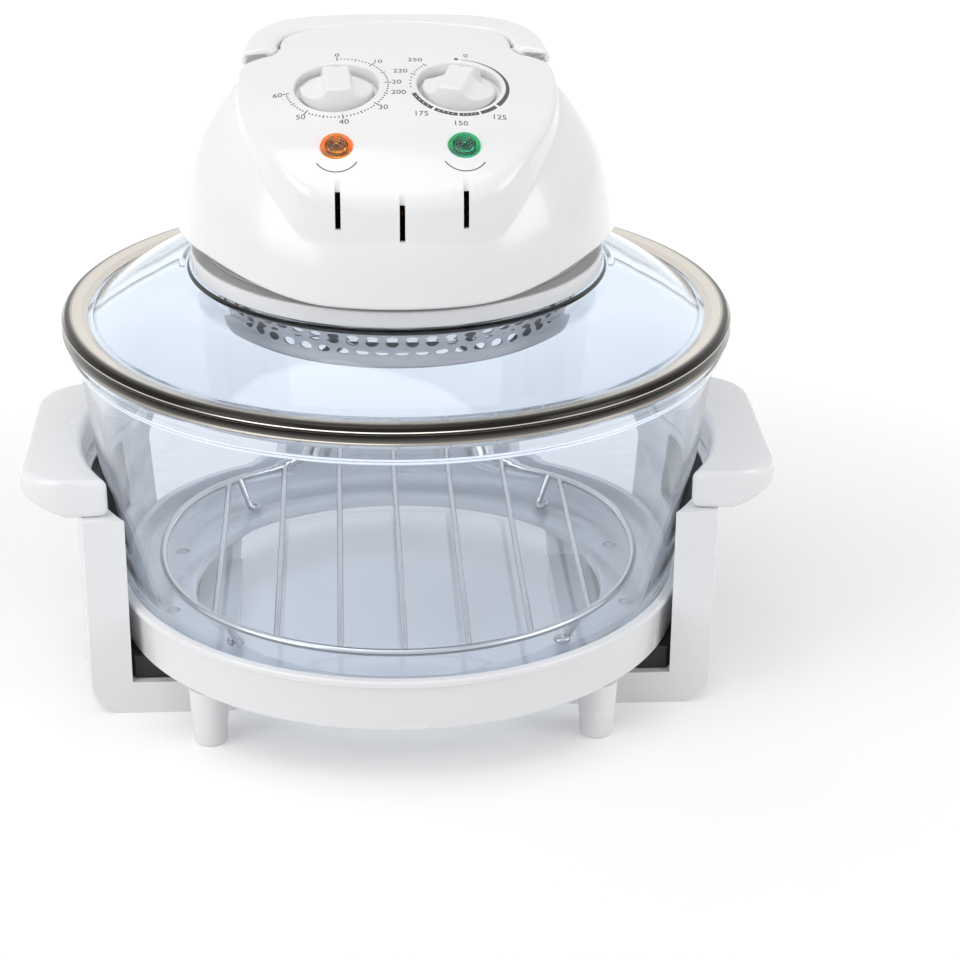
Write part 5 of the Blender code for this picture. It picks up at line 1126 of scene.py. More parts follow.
def panel_height(x, y):
    """The panel's height: its crest, less a fall read from a smooth curve over the depth, less a crown
    that drops with the square of x."""
    share = (PANEL_BACK - y) / (PANEL_BACK + panel_front)
    fall = PANEL_FALL * np.interp(share, fall_curve[:, 0], fall_curve[:, 1])
    return panel_crest - fall - PANEL_CROWN_DROP * (x / PANEL_HALF_WIDTH) ** 2


right_side = ([(width * PANEL_HALF_WIDTH, -reach * panel_front)
               for width, reach in zip(PANEL_FRONT_WIDTH_SHARES, PANEL_FRONT_REACH_SHARES)]
              + [(width * PANEL_HALF_WIDTH, reach * PANEL_BACK)
                 for width, reach in zip(PANEL_BACK_WIDTH_SHARES, PANEL_BACK_REACH_SHARES)])
panel_outline = smooth_curve(right_side + [(-x, y) for x, y in reversed(right_side)], COLUMNS, closed=True)
ray_length = np.linalg.norm(panel_outline, axis=1)
ray = panel_outline / ray_length[:, None]
edge_slope = np.roll(panel_outline, -1, axis=0) - np.roll(panel_outline, 1, axis=0)
edge_slope /= np.linalg.norm(edge_slope, axis=1, keepdims=True)
outward = np.stack([edge_slope[:, 1], -edge_slope[:, 0]], axis=1)
squareness = np.maximum((outward * ray).sum(axis=1), LEAST_SQUARENESS)
print("rays turn one way:", bool((np.diff(np.unwrap(np.arctan2(ray[:, 1], ray[:, 0]))) > 0).all()))

# %% [markdown]
# Under the panel the bell falls away, and its lower edge sweeps up from the front to the sides in a soft
# S. The edge's height is worked out for each ray, and the bell's curve is stretched to reach it. Behind
# the panel a shallow scoop makes room for fingers under the folded handle.

# %% Bell of the cover
SCOOP_HALF_WIDTH = 0.032
SCOOP_HALF_LENGTH = 0.018
SCOOP_DEPTH = 0.0115
SCOOP_FULLNESS = 0.8

handle_low, handle_high = box_of("lid_handle")
off_front = np.degrees(np.abs(np.arctan2(ray[:, 0], -ray[:, 1])))
wave = np.clip((off_front - WAVE_START_ANGLE) / (WAVE_END_ANGLE - WAVE_START_ANGLE), 0, 1)
edge_height = bell_edge + BELL_EDGE_WAVE * wave ** 2 * (3 - 2 * wave)
bell_curve = smooth_curve(np.stack([BELL_RADIUS_SHARES, BELL_DROP_SHARES], axis=1), BELL_STEPS)
scoop_y = (PANEL_BACK + handle_high[1]) / 2


def scoop_drop(x, y):
    """How far the finger scoop lowers the bell: its depth times (1 - r^2) to the power of its fullness."""
    reach = (x / SCOOP_HALF_WIDTH) ** 2 + ((y - scoop_y) / SCOOP_HALF_LENGTH) ** 2
    return SCOOP_DEPTH * np.clip(1 - reach, 0, None) ** SCOOP_FULLNESS


def bell_point(place, inset):
    """Radius and height on the bell at a place from 0, its top, to 1, its edge, for every ray."""
    steps = np.linspace(0, 1, len(bell_curve))
    depth = bell_top - edge_height - COVER_WALL / 2 - inset
    radius = np.interp(place, steps, bell_curve[:, 0]) * bell_radius - inset
    height = bell_top - inset - np.interp(place, steps, bell_curve[:, 1]) * depth
    return radius, height - scoop_drop(radius * ray[:, 0], radius * ray[:, 1])


print("the bell's edge rises by", np.ptp(edge_height).round(4), "from the front to the back")

# %% [markdown]
# Now the whole cover is put together from rows. The two bends, at the panel's edge and at the wall's foot,
# have radii of their own, because the edge is soft at the front and crisp behind, where the handle lies.
# The inner face is the same shape moved in by the wall, with fewer rows, since nobody sees it.

# %% Cover surface
PANEL_EDGE_BACK = 0.0016
PANEL_EDGE_FRONT = 0.0060
LEAST_EDGE = 0.0006
HOLLOW_ROUND = 0.0020
WALL_DRAFT = 0.0006
LAST_BELL_SHARE = 0.97
OUTER_ROWS = (44, 9, 46)
INNER_ROWS = (16, 4, 24)


def bend(start, middle, end, count):
    """Rows on the curve (1 - t)^2 A + 2 t (1 - t) B + t^2 C between two points, without the last."""
    t = np.linspace(0, 1, count, endpoint=False)[:, None]
    return [(1 - t) ** 2 * a + 2 * t * (1 - t) * b + t ** 2 * c for a, b, c in zip(start, middle, end)]


def cover_rows(inset, counts):
    """Radius and height of the cover's outer or inner face, from the panel's middle to the bell's edge.

    The panel's rows are shares of each ray. Two bends join panel to wall and wall to bell: a bend starts
    and ends its radius away from the corner that the two straight runs would make.
    """
    panel_rows, bend_rows, bell_rows = counts
    wall = ray_length - inset / squareness
    forward = np.clip(-wall * ray[:, 1] / panel_front, 0, 1)
    forward = forward ** 2 * (3 - 2 * forward)
    edge = PANEL_EDGE_BACK + (PANEL_EDGE_FRONT - PANEL_EDGE_BACK) * forward - inset
    edge = np.maximum(edge, LEAST_EDGE)
    flat = wall - edge / squareness

    def top(radius):
        return panel_height(radius * ray[:, 0], radius * ray[:, 1]) - inset

    steps = np.linspace(0, 1, len(bell_curve))
    foot = wall + WALL_DRAFT
    meet = np.interp((foot + inset) / bell_radius, bell_curve[:, 0], steps)
    foot_height = bell_point(meet, inset)[1]
    edge = np.minimum(edge, MOST_ROUND_SHARE * (top(wall) - foot_height))
    hollow = np.minimum(HOLLOW_ROUND, MOST_ROUND_SHARE * (top(wall) - foot_height))
    length = np.linalg.norm(np.diff(bell_curve * (bell_radius, bell_top - bell_edge), axis=0), axis=1).sum()
    after = np.minimum(meet + hollow / length, LAST_BELL_SHARE)
    radii = np.linspace(0, 1, panel_rows, endpoint=False)[:, None] * flat
    rows = [(radii, top(radii))]
    rows.append(bend((flat, top(flat)), (wall, top(wall)), (wall, top(wall) - edge), bend_rows))
    drop = np.linspace(0, 1, bend_rows, endpoint=False)[:, None]
    high, low = top(wall) - edge, foot_height + hollow
    rows.append((wall + drop * WALL_DRAFT, high + drop * (low - high)))
    rows.append(bend((foot, low), (foot, foot_height), bell_point(after, inset), bend_rows))
    down = np.linspace(0, 1, bell_rows)[:, None]
    rows.append(bell_point(after + down * (1 - after), inset))
    return np.concatenate([row[0] for row in rows]), np.concatenate([row[1] for row in rows])


outer_radius, outer_height = cover_rows(0.0, OUTER_ROWS)
inner_radius, inner_height = cover_rows(COVER_WALL, INNER_ROWS)
turn = np.linspace(0, np.pi, 8)[1:-1, None]
rim_radius_rows = bell_radius - COVER_WALL / 2 + COVER_WALL / 2 * np.cos(turn) + 0 * edge_height
rim_height_rows = edge_height + COVER_WALL / 2 - COVER_WALL / 2 * np.sin(turn)
radius = np.concatenate([outer_radius, rim_radius_rows, inner_radius[::-1]])
height = np.concatenate([outer_height, rim_height_rows, inner_height[::-1]])
cover_points = np.stack([radius * ray[:, 0], radius * ray[:, 1], height], axis=-1)
cover = sheet_mesh("head cover", cover_points)
print("cover rows and columns:", cover_points.shape[:2], "height", np.ptp(height).round(4))

# %% [markdown]
# The dials stand in round recesses and the lamps in small seats. The working model's joints already say
# where each dial turns, so its recess takes its place and its lean from there. A recess has to meet a
# curved panel in an even, soft lip, so its tool's upper rows rise and fall with the panel.

# %% Dial and lamp places
DIAL_RECESS = 0.0205
DIAL_DEPTH = 0.0055
LAMP_X = 0.0303
LAMP_Y = -0.0768
LAMP_TILT = 33.0
LAMP_RADIUS = 0.0076
LAMP_SEAT = 0.0014
LAMP_NECK = 0.0056
STEM_HOLE = 0.0033
CLEARANCE = 0.0003

joint_of = {joint["name"]: joint for joint in frame["joints"]}


def leaning(place, tilt):
    """A frame at a place whose Z axis leans forward by an angle in degrees."""
    return Matrix.Translation(place) @ Matrix.Rotation(np.radians(tilt), 4, "X")


dial_frames = {}
for dial in ("timer", "thermostat"):
    joint = joint_of[f"{dial}_turn"]
    tilt = np.degrees(np.arctan2(joint["axis"][1], -joint["axis"][2]))
    dial_frames[dial] = leaning(joint["pos_m"], tilt)
lamp_frames = {name: leaning((x, LAMP_Y, panel_height(x, LAMP_Y)), LAMP_TILT)
               for name, x in (("power", -LAMP_X), ("heat", LAMP_X))}
print("dials lean", round(float(tilt), 1), "degrees")


def well(name, place, profile, steps=96):
    """A turned tool in a leaning frame, from points (radius, height, share of the panel's own rise).

    The rise over a circle is the panel's height less the frame's plane, times the cosine of the lean.
    """
    angle = np.linspace(0, 2 * np.pi, steps, endpoint=False)[None]
    radius, height, share = np.array(profile, float).T[..., None]
    across, along = radius * np.cos(angle), radius * np.sin(angle)
    plane = np.array(place)
    x, y, z = plane[:3, :1, None] * across + plane[:3, 1:2, None] * along + plane[:3, 3:, None]
    rise = (panel_height(x, y) - z) * plane[2, 2]
    rows = np.stack([across, along, height + share * rise], axis=-1)
    return placed(sheet_mesh(name, rows), place)


def drum(place, radius, low, high):
    """A plain round tool along a frame's Z axis."""
    return placed(turned("drum", [(0, low), (radius, low), (radius, high), (0, high)], SMALL_STEPS), place)


# %% [markdown]
# Three cooling slots run down the panel's front wall. Each starts as a shallow groove on the rounded edge
# and then goes right through. The tool for one is a narrow blade whose inner edge follows the cover's own
# face: just under it along the groove, and well past the wall below.

# %% Slot tools
SLOT_WIDTH = 0.0026
SLOT_LEAD_IN = 0.0055
SLOT_LEAD_DEPTH = 0.0022
SLOT_SPACING = 0.0302
SLOT_SIDE_TOP = 0.2915
SLOT_SIDE_LENGTH = 0.0170
SLOT_MIDDLE_TOP = 0.2860
SLOT_MIDDLE_LENGTH = 0.0165
SLOT_OVERRUN = 0.0040
# The cover's rows from the middle of the panel to the wall's foot, where its front face only falls.
FRONT_ROWS = slice(20, 66)
GROOVE_STEPS = 9
CUT_STEPS = 12


def slot_tool(x, top, length):
    """A blade down the cover's front at x: at height z its inner edge is the face's reach less a depth.

    The depth grows evenly from nothing over the lead-in, and is far past the wall below the slot's top.
    """
    column = np.argmin(np.abs(panel_outline[:, 0] - x) + (panel_outline[:, 1] > 0))
    reach, level = -outer_radius[:, column] * ray[column, 1], outer_height[:, column]
    groove = np.linspace(SLOT_LEAD_IN, 0, GROOVE_STEPS)
    levels = np.concatenate([top + groove, top - np.linspace(CLEARANCE, length, CUT_STEPS)])
    depths = np.concatenate([SLOT_LEAD_DEPTH * (1 - groove / SLOT_LEAD_IN),
                             np.full(CUT_STEPS, 3 * COVER_WALL)])
    face = -np.interp(-levels, -level[FRONT_ROWS], reach[FRONT_ROWS])
    left = np.full_like(levels, x - SLOT_WIDTH / 2)
    right = left + SLOT_WIDTH
    corners = ((left, face - SLOT_OVERRUN), (right, face - SLOT_OVERRUN), (right, face + depths),
               (left, face + depths))
    rows = np.stack([np.stack([across, along, levels], axis=-1) for across, along in corners], axis=1)
    return sheet_mesh("slot", rows, capped=True)


slots = [slot_tool(x, SLOT_SIDE_TOP, SLOT_SIDE_LENGTH) for x in (-SLOT_SPACING, SLOT_SPACING)]
slots.append(slot_tool(0.0, SLOT_MIDDLE_TOP, SLOT_MIDDLE_LENGTH))
print("slots:", len(slots))

# %% [markdown]
# Now the cover is worked as a maker would work a casting: cups and a boss are added inside, then recesses,
# seats, slots and holes are cut. One union and one cut are quicker and cleaner than many.

# %% Cover openings
BOSS_RADIUS = 0.0053
BOSS_TOP_SHARE = 0.6
GLAND_HEIGHT = 0.2742
GLAND_LEAN = -73.0
GLAND_HOLE = 0.0065
GLAND_HALF_LENGTH = 0.0090
PIN_HOLE = 0.0025
PLUNGER_HOLE = 0.0025
RECESS_OVERRUN = 0.0120
PIN_OVERRUN = 0.0010
SEAT_NECK_DEPTH = 0.0070
SEAT_OVERRUN = 0.0040
# Corners of a bend or a lip as (out from the recess, up from its floor or from the panel).
RECESS_FOOT = ((-0.0012, 0.0), (-0.0003, 0.0004), (0.0, 0.0012))
RECESS_LIP = ((0.0, -0.0008), (0.0003, -0.0002), (0.0010, 0.0002))
RECESS_FLARE = 0.0014
SEAT_LIP = ((0.0, -0.0003), (0.0004, 0.0002), (0.0004, SEAT_OVERRUN))
# The bell starts a few rows after the panel, its edge and its wall.
bell_rows = slice(OUTER_ROWS[0] + 2 * OUTER_ROWS[1] + 2, None)


def bell_height(x, y):
    """The bell's outer height at a place: read along the nearest ray, by the distance from the axis."""
    column = np.argmax(ray @ (np.array((x, y)) / np.hypot(x, y)))
    return float(np.interp(np.hypot(x, y), outer_radius[bell_rows, column], outer_height[bell_rows, column]))


plunger_low, plunger_high = box_of("switch_plunger")
plunger_x, plunger_y = (plunger_low + plunger_high)[:2] / 2
plunger_place = Matrix.Translation((plunger_x, plunger_y, 0))
pin_low, pin_high = box_of("handle_pin_right")
back = np.argmax(ray[:, 1])
gland_reach = np.interp(-GLAND_HEIGHT, -outer_height[bell_rows, back], outer_radius[bell_rows, back])
gland_frame = leaning((0, gland_reach, GLAND_HEIGHT), GLAND_LEAN)


def pin_drum(side, low, high):
    """A round tool along a handle pin, from low to high as counted outward from the pin's inner end."""
    middle = (pin_low + pin_high) / 2
    spot = Matrix.Translation((side * pin_low[0], middle[1], middle[2]))
    return drum(spot @ Matrix.Rotation(np.radians(90 * side), 4, "Y"), PIN_HOLE, low, high)


boss_top = bell_height(plunger_x, plunger_y) - BOSS_TOP_SHARE * COVER_WALL
boss = drum(plunger_place, BOSS_RADIUS, plunger_low[2], boss_top)
cup = DIAL_RECESS + COVER_WALL
cup_shape = [(0, -DIAL_DEPTH - COVER_WALL, 0), (cup, -DIAL_DEPTH - COVER_WALL, 0),
             (cup, -COVER_WALL / 2, 1), (0, -COVER_WALL / 2, 1)]
cups = [well("cup", place, cup_shape) for place in dial_frames.values()]
cover = carved(cover, joined("added inside", cups + [boss]), "UNION")

recess_shape = ([(0, -RECESS_OVERRUN, 0), (STEM_HOLE, -RECESS_OVERRUN, 0), (STEM_HOLE, -DIAL_DEPTH, 0)]
                + [(DIAL_RECESS + out, up - DIAL_DEPTH, 0) for out, up in RECESS_FOOT]
                + [(DIAL_RECESS + out, up, 1) for out, up in RECESS_LIP]
                + [(DIAL_RECESS + RECESS_FLARE, RECESS_OVERRUN, 1), (0, RECESS_OVERRUN, 1)])
tools = [well("recess", place, recess_shape) for place in dial_frames.values()]
seat, neck = LAMP_RADIUS + CLEARANCE, LAMP_NECK + CLEARANCE
seat_shape = ([(0, -SEAT_NECK_DEPTH, 0), (neck, -SEAT_NECK_DEPTH, 0), (neck, -LAMP_SEAT, 0),
               (seat, -LAMP_SEAT, 0)]
              + [(seat + out, up, 1) for out, up in SEAT_LIP] + [(0, SEAT_OVERRUN, 1)])
tools += [well("lamp seat", place, seat_shape, 64) for place in lamp_frames.values()]
tools += [pin_drum(side, -PIN_OVERRUN, RECESS_OVERRUN) for side in (-1, 1)]
tools.append(drum(plunger_place, PLUNGER_HOLE, plunger_low[2] - 2 * PIN_OVERRUN,
                  plunger_high[2] + 3 * PIN_OVERRUN))
tools.append(drum(gland_frame, GLAND_HOLE, -GLAND_HALF_LENGTH, GLAND_HALF_LENGTH))
cover = tidied(carved(cover, joined("openings", tools + slots)), 32.0)
dressed(cover, "head_cover")

# %% [markdown]
# The handle is a bail that lies round the back of the panel. Its inner edge is the panel's outline moved
# out by a seam. Both edges are met by rays from the oven's axis, so the two edges are matched by angle,
# which keeps the section square to the bar at its two bends.

# %% Lid handle
HANDLE_SEAM = 0.0011
HANDLE_CROWN_DROP = 0.0040
HANDLE_INNER_START = 0.0046
HANDLE_WIDTH_SHARES = (0.985, 0.978, 0.96, 0.90, 0.79, 0.64, 0.38, 0.0)
HANDLE_REACH_SHARES = (0.015, 0.20, 0.46, 0.70, 0.885, 0.975, 1.0, 0.995)
HANDLE_ROUND = 0.0042
HANDLE_END = 0.0024
HANDLE_STEPS = 160
LINE_STEPS = 600

handle_back = handle_high[1]
handle_right = [(width * PANEL_HALF_WIDTH, reach * handle_back)
                for width, reach in zip(HANDLE_WIDTH_SHARES, HANDLE_REACH_SHARES)]
handle_outer = smooth_curve(handle_right + [(-x, y) for x, y in handle_right[-2::-1]], CURVE_STEPS)
seam_line = panel_outline + outward * HANDLE_SEAM
seam_line = smooth_curve(seam_line[seam_line[:, 1] > HANDLE_INNER_START], LINE_STEPS)


def by_turn(line):
    """A line's points at equal steps of their angle about the oven's axis."""
    angle = np.arctan2(line[:, 1], line[:, 0])
    order = np.argsort(angle)
    steps = np.linspace(angle.min(), angle.max(), LINE_STEPS)
    return np.stack([np.interp(steps, angle[order], column) for column in line[order].T], axis=1)


def handle_top(x, y):
    """The handle's top: level at the middle, lower by the square of x at the arms."""
    return handle_high[2] - HANDLE_CROWN_DROP * (x / PANEL_HALF_WIDTH) ** 2


def handle_floor(x, y):
    """The handle's level underside."""
    return handle_low[2] + 0 * x


handle = bar_between("handle", by_turn(seam_line), by_turn(handle_outer), handle_floor, handle_top,
                     HANDLE_ROUND, HANDLE_END, HANDLE_STEPS, matched=True)
pin_reach = pin_high[0] - pin_low[0] + CLEARANCE
pin_holes = [pin_drum(side, -2 * PIN_OVERRUN, pin_reach) for side in (-1, 1)]
dressed(tidied(carved(handle, joined("pin holes", pin_holes))), "lid_handle")

# %% [markdown]
# A dial knob is a wedge over a disc: a flat-topped ridge from the front rim, whose sides flare into the
# disc, and behind it a slope down to a lower half that stays in the shade of the recess. It is a function
# of x and y, so its grid is laid along the chords of the disc, with extra rows where the ridge's sides and
# the step stand.

# %% Dial knobs
KNOB_RADIUS = 0.0180
KNOB_BASE = -0.0043
KNOB_LOW = -0.0034
KNOB_TOP = 0.0081
KNOB_STEP_Y = 0.0012
KNOB_SLOPE_Y = 0.0046
KNOB_BACK_TOP = -0.0010
KNOB_STEM_END = -0.0128
KNOB_STEM = 0.0030
KNOB_STEP_LENGTH = 0.0005
KNOB_RIDGE_SHARE = 0.345
KNOB_FADE_SHARE = 0.03
KNOB_RIM_ROUND = 0.0009
GROOVE_DEPTH = 0.0011
GROOVE_HALF_WIDTH = 0.0011
GROOVE_AHEAD = 0.0008
GROOVE_LEAD_IN = 0.0012
FLARE_ACROSS_SHARES = (0.0, 0.29, 0.32, 0.345, 0.37, 0.40, 0.45, 0.53, 0.64, 0.76, 0.88, 1.0)
FLARE_HEIGHT_SHARES = (1.0, 1.0, 0.97, 0.90, 0.79, 0.66, 0.53, 0.42, 0.31, 0.22, 0.13, 0.03)

flare = smooth_curve(np.stack([FLARE_ACROSS_SHARES, FLARE_HEIGHT_SHARES], axis=1), CURVE_STEPS)


def knob_height(x, y):
    """The knob's upper face: a flared section across, a step to the lower half and a slope behind.

    The flare falls from the top to just under the panel, the step is a smooth cubic, the ridge's back is
    a straight slope with a pointer groove, and the rim is rounded by a quarter circle.
    """
    across = np.abs(x) / KNOB_RADIUS
    crest = KNOB_BACK_TOP + (KNOB_TOP - KNOB_BACK_TOP) * np.interp(across, flare[:, 0], flare[:, 1])
    slope = KNOB_TOP + (KNOB_BACK_TOP - KNOB_TOP) * (y - KNOB_SLOPE_Y) / (KNOB_RADIUS - KNOB_SLOPE_Y)
    ridge = np.minimum(crest, np.where(y > KNOB_SLOPE_Y, slope, KNOB_TOP))
    step = np.clip((y - KNOB_STEP_Y) / KNOB_STEP_LENGTH + 0.5, 0, 1)
    step = step * np.clip((across - KNOB_RIDGE_SHARE) / KNOB_FADE_SHARE, 0, 1)
    step = step ** 2 * (3 - 2 * step)
    groove = GROOVE_DEPTH * np.clip(1 - (x / GROOVE_HALF_WIDTH) ** 2, 0, 1)
    groove = groove * np.clip((y - KNOB_SLOPE_Y + GROOVE_AHEAD) / GROOVE_LEAD_IN, 0, 1)
    rim = np.clip((np.hypot(x, y) - KNOB_RADIUS + KNOB_RIM_ROUND) / KNOB_RIM_ROUND, 0, 1)
    soft = KNOB_RIM_ROUND * (1 - np.sqrt(np.clip(1 - rim ** 2, 0, 1)))
    return (1 - step) * (ridge - groove) + step * np.minimum(ridge, KNOB_LOW) - soft


print("knob height at its middle:", float(knob_height(0.0, 0.0)))

# %% [markdown]
# The knob's grid has a closed loop on each chord: over the top, down behind, back along the base and up in
# front. Its stem is a plain pin that reaches through the recess to the switch behind.

# %% Knobs and their stems
KNOB_REST_TURNS = {"timer": 4.0, "thermostat": -18.0}
KNOB_SHARP_ANGLE = 40.0
STEM_ROUND = 0.0005
STEM_OVERLAP = 0.0008


def knob_mesh(name):
    """The knob as a row of closed loops, one on each chord, and a stem of its own behind it."""
    steps = np.concatenate([np.linspace(0, 0.25, 8), np.linspace(0.27, 0.42, 16), np.linspace(0.45, 0.85, 14),
                            np.sin(np.linspace(np.arcsin(0.87), np.pi / 2, 12))])
    across = KNOB_RADIUS * np.concatenate([-steps[:0:-1], steps])[:, None]
    chord = np.sqrt(np.clip(KNOB_RADIUS ** 2 - across ** 2, 0, None))
    swing = np.sin(np.linspace(-np.pi / 2, np.pi / 2, 49))[None]
    stops = np.concatenate([KNOB_STEP_Y + KNOB_STEP_LENGTH * np.array([-0.6, -0.2, 0.2, 0.6]),
                            KNOB_SLOPE_Y + KNOB_STEP_LENGTH * np.array([-1, 0, 1])])[None]
    along = np.sort(np.concatenate([chord * swing, np.clip(stops, -chord, chord)], axis=1), axis=1)
    top = knob_height(across, along)
    wall = np.linspace(0, 1, 6)[None, 1:-1]
    behind = top[:, -1:] + wall * (KNOB_BASE - top[:, -1:])
    before = KNOB_BASE + wall * (top[:, :1] - KNOB_BASE)
    y = np.concatenate([along, chord + 0 * wall, along[:, ::-1], -chord + 0 * wall], axis=1)
    z = np.concatenate([top, behind, KNOB_BASE + 0 * along, before], axis=1)
    body = sheet_mesh(name, np.stack([across + 0 * y, y, z], axis=-1), sharp_angle=KNOB_SHARP_ANGLE)
    stem_top = KNOB_BASE + STEM_OVERLAP
    stem = rounded([(0, KNOB_STEM_END, 0), (KNOB_STEM, KNOB_STEM_END, STEM_ROUND), (KNOB_STEM, stem_top, 0),
                    (0, stem_top, 0)])
    return joined(name, [body, turned("stem", stem, SMALL_STEPS)])


for dial, place in dial_frames.items():
    spin = Matrix.Rotation(np.radians(KNOB_REST_TURNS[dial]), 4, "Z")
    knob = placed(knob_mesh("knob"), place @ spin)
    dressed(tidied(knob, KNOB_SHARP_ANGLE), f"{dial}_knob")

# %% [markdown]
# The lamps' lenses are clear coloured plastic with a flat rim, a raised drum and fine rings on it that
# scatter the light. The rings could be a bump pattern, but at this size they are real ridges, so they are
# in the profile.

# %% Lamp lenses
LENS_PROUD = 0.0022
LENS_NECK_LENGTH = 0.0037
LENS_NECK_ROUND = 0.0003
LENS_FLANGE_ROUND = 0.0002
RING_COUNT = 3
RING_RISE = 0.00022
RINGS_RADIUS_SHARE = 0.58
DRUM_TOP_SHARE = 1.12
DRUM_DOME_SHARE = 0.3
# Corners of rim, groove and drum as (share of the radius, share of how proud the lens is, round).
LENS_CORNER_SHARES = ((1.0, 0.42, 0.0007), (0.80, 0.66, 0.0004), (0.72, 0.40, 0.0004), (0.64, 1.02, 0.0004))

inward = np.linspace(0, 1, 60)
drum_top = LENS_PROUD * DRUM_TOP_SHARE + RING_RISE * np.sin(2 * np.pi * RING_COUNT * inward)
drum_top += LENS_PROUD * DRUM_DOME_SHARE * (1 - inward) ** 2
lens_rings = np.stack([LAMP_RADIUS * RINGS_RADIUS_SHARE * (1 - inward), drum_top[::-1]], axis=1)
lens_foot, flange = -LAMP_SEAT - LENS_NECK_LENGTH, CLEARANCE - LAMP_SEAT
lens_profile = rounded(
    [(0, lens_foot, 0), (LAMP_NECK, lens_foot, LENS_NECK_ROUND), (LAMP_NECK, flange, 0),
     (LAMP_RADIUS, flange, LENS_FLANGE_ROUND)]
    + [(LAMP_RADIUS * out, LENS_PROUD * up, bend_radius) for out, up, bend_radius in LENS_CORNER_SHARES]
    + sharp(lens_rings[1:-1]) + [(0, lens_rings[-1][1], 0)])
for name, place in lamp_frames.items():
    dressed(placed(turned("lens", lens_profile, 96, 50.0), place), f"{name}_lamp_lens")

# %% [markdown]
# The scales round the dials are printed in grey ink. A stroke of ink is a thin strip in the dial's plane
# that is then laid on the panel: its points slide along the dial's axis until they meet the panel's
# height. Real print is far thinner, but a strip needs a little height to be a closed piece.

# %% Strokes of ink
INK_HIGH = 0.00006
INK_LOW = -0.00012
STROKE = 0.00055
DOT = 0.00046

ink = moulded("printed grey ink", (0.085, 0.085, 0.09), (0.065, 0.065, 0.07),
              roughness=0.5, change=0.1, grain=1500, depth=0.00001)
white_ink = moulded("printed white ink", (0.80, 0.80, 0.80), (0.76, 0.76, 0.76),
                    roughness=0.5, change=0.1, grain=1500, depth=0.00001)


def laid(place, points):
    """Points (across, along, lift) of a leaning frame laid on the panel, with the lift counted from it.

    Three passes move a point along the frame's axis by its height under the panel times the axis's z.
    """
    plane = np.array(place)
    points = np.asarray(points, float)
    spot = points[..., :2] @ plane[:3, :2].T + plane[:3, 3]
    for step in range(3):
        rise = (panel_height(spot[..., 0], spot[..., 1]) - spot[..., 2]) * plane[2, 2]
        spot = spot + rise[..., None] * plane[:3, 2]
    return spot + points[..., 2:] * plane[:3, 2]


def stroke(place, angles, inner, outer):
    """A strip round a dial: at each angle, clockwise from the back, it reaches from inner to outer radius."""
    turn = np.radians(angles)[:, None]
    inner, outer = np.broadcast_to(inner, turn.shape[:1]), np.broadcast_to(outer, turn.shape[:1])
    radius = np.stack([inner, outer, outer, inner], axis=1)
    lift = np.broadcast_to([INK_HIGH, INK_HIGH, INK_LOW, INK_LOW], radius.shape)
    points = np.stack([radius * np.sin(turn), radius * np.cos(turn), lift], axis=-1)
    return sheet_mesh("stroke", laid(place, points), capped=True)


def tick(place, angle, inner, outer):
    """A short stroke across a scale, of an even angle."""
    half = np.degrees(STROKE / 2 / inner)
    return stroke(place, [angle - half, angle + half], inner, outer)


def dot(place, angle, radius, size=DOT, lift=0.0):
    """A round spot on a scale: a flat disc's points, laid as a stroke is."""
    turn = np.linspace(0, 2 * np.pi, 10, endpoint=False)[None]
    spread = np.array([0, size, size, 0])[:, None]
    level = np.array([INK_LOW, INK_LOW, INK_HIGH, INK_HIGH])[:, None] + lift
    along = radius * np.cos(np.radians(angle)) + spread * np.sin(turn)
    across = radius * np.sin(np.radians(angle)) + spread * np.cos(turn)
    return sheet_mesh("dot", laid(place, np.stack([across, along, level + 0 * turn], axis=-1)))


print("ink stands", INK_HIGH, "above the panel and reaches", -INK_LOW, "into it")

# %% [markdown]
# Figures come from a text object, because Blender's own font has clean outlines. It is made a mesh first,
# and then its points are laid on the panel like any stroke. A print replaces no node of the working model,
# so it only rides with the cover.

# %% Figures and prints
FIGURE_SIZE = 0.0049
FIGURE_SHARP_ANGLE = 20.0


def figures(place, word, angle, radius):
    """Figures from a text object, made a mesh and laid level with the frame beside a scale."""
    writing = bpy.data.curves.new("figures", "FONT")
    writing.body = word
    writing.size = FIGURE_SIZE
    writing.align_x, writing.align_y = "CENTER", "CENTER"
    writing.resolution_u = 3
    writing.extrude = INK_HIGH
    work = bpy.data.objects.new("figures", writing)
    bpy.context.scene.collection.objects.link(work)
    bpy.context.view_layer.update()
    mesh = bpy.data.meshes.new_from_object(work.evaluated_get(bpy.context.evaluated_depsgraph_get()))
    bpy.data.objects.remove(work)
    points = np.zeros(3 * len(mesh.vertices))
    mesh.vertices.foreach_get("co", points)
    middle = (radius * np.sin(np.radians(angle)), radius * np.cos(np.radians(angle)), 0)
    mesh.vertices.foreach_set("co", laid(place, points.reshape(-1, 3) + middle).reshape(-1))
    return tidied(mesh, FIGURE_SHARP_ANGLE)


def printed(mesh, name, finish):
    """Shows a print on the cover: it rides with the cover and replaces nothing."""
    made = shown(mesh, name, finish)
    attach(made, body_of(frame["nodes"]["head_cover"])[0])


# %% [markdown]
# The timer's scale has a long tick at every five minutes and four dots between, with figures at the tens.
# The heat scale starts with an arc that thickens, goes on as dark blocks with white dots, and ends with
# dots and two ticks. Only figures are set beside them, with a 0 where a dial is off. A thin arc under
# each lamp is a stroke round a point just below it.

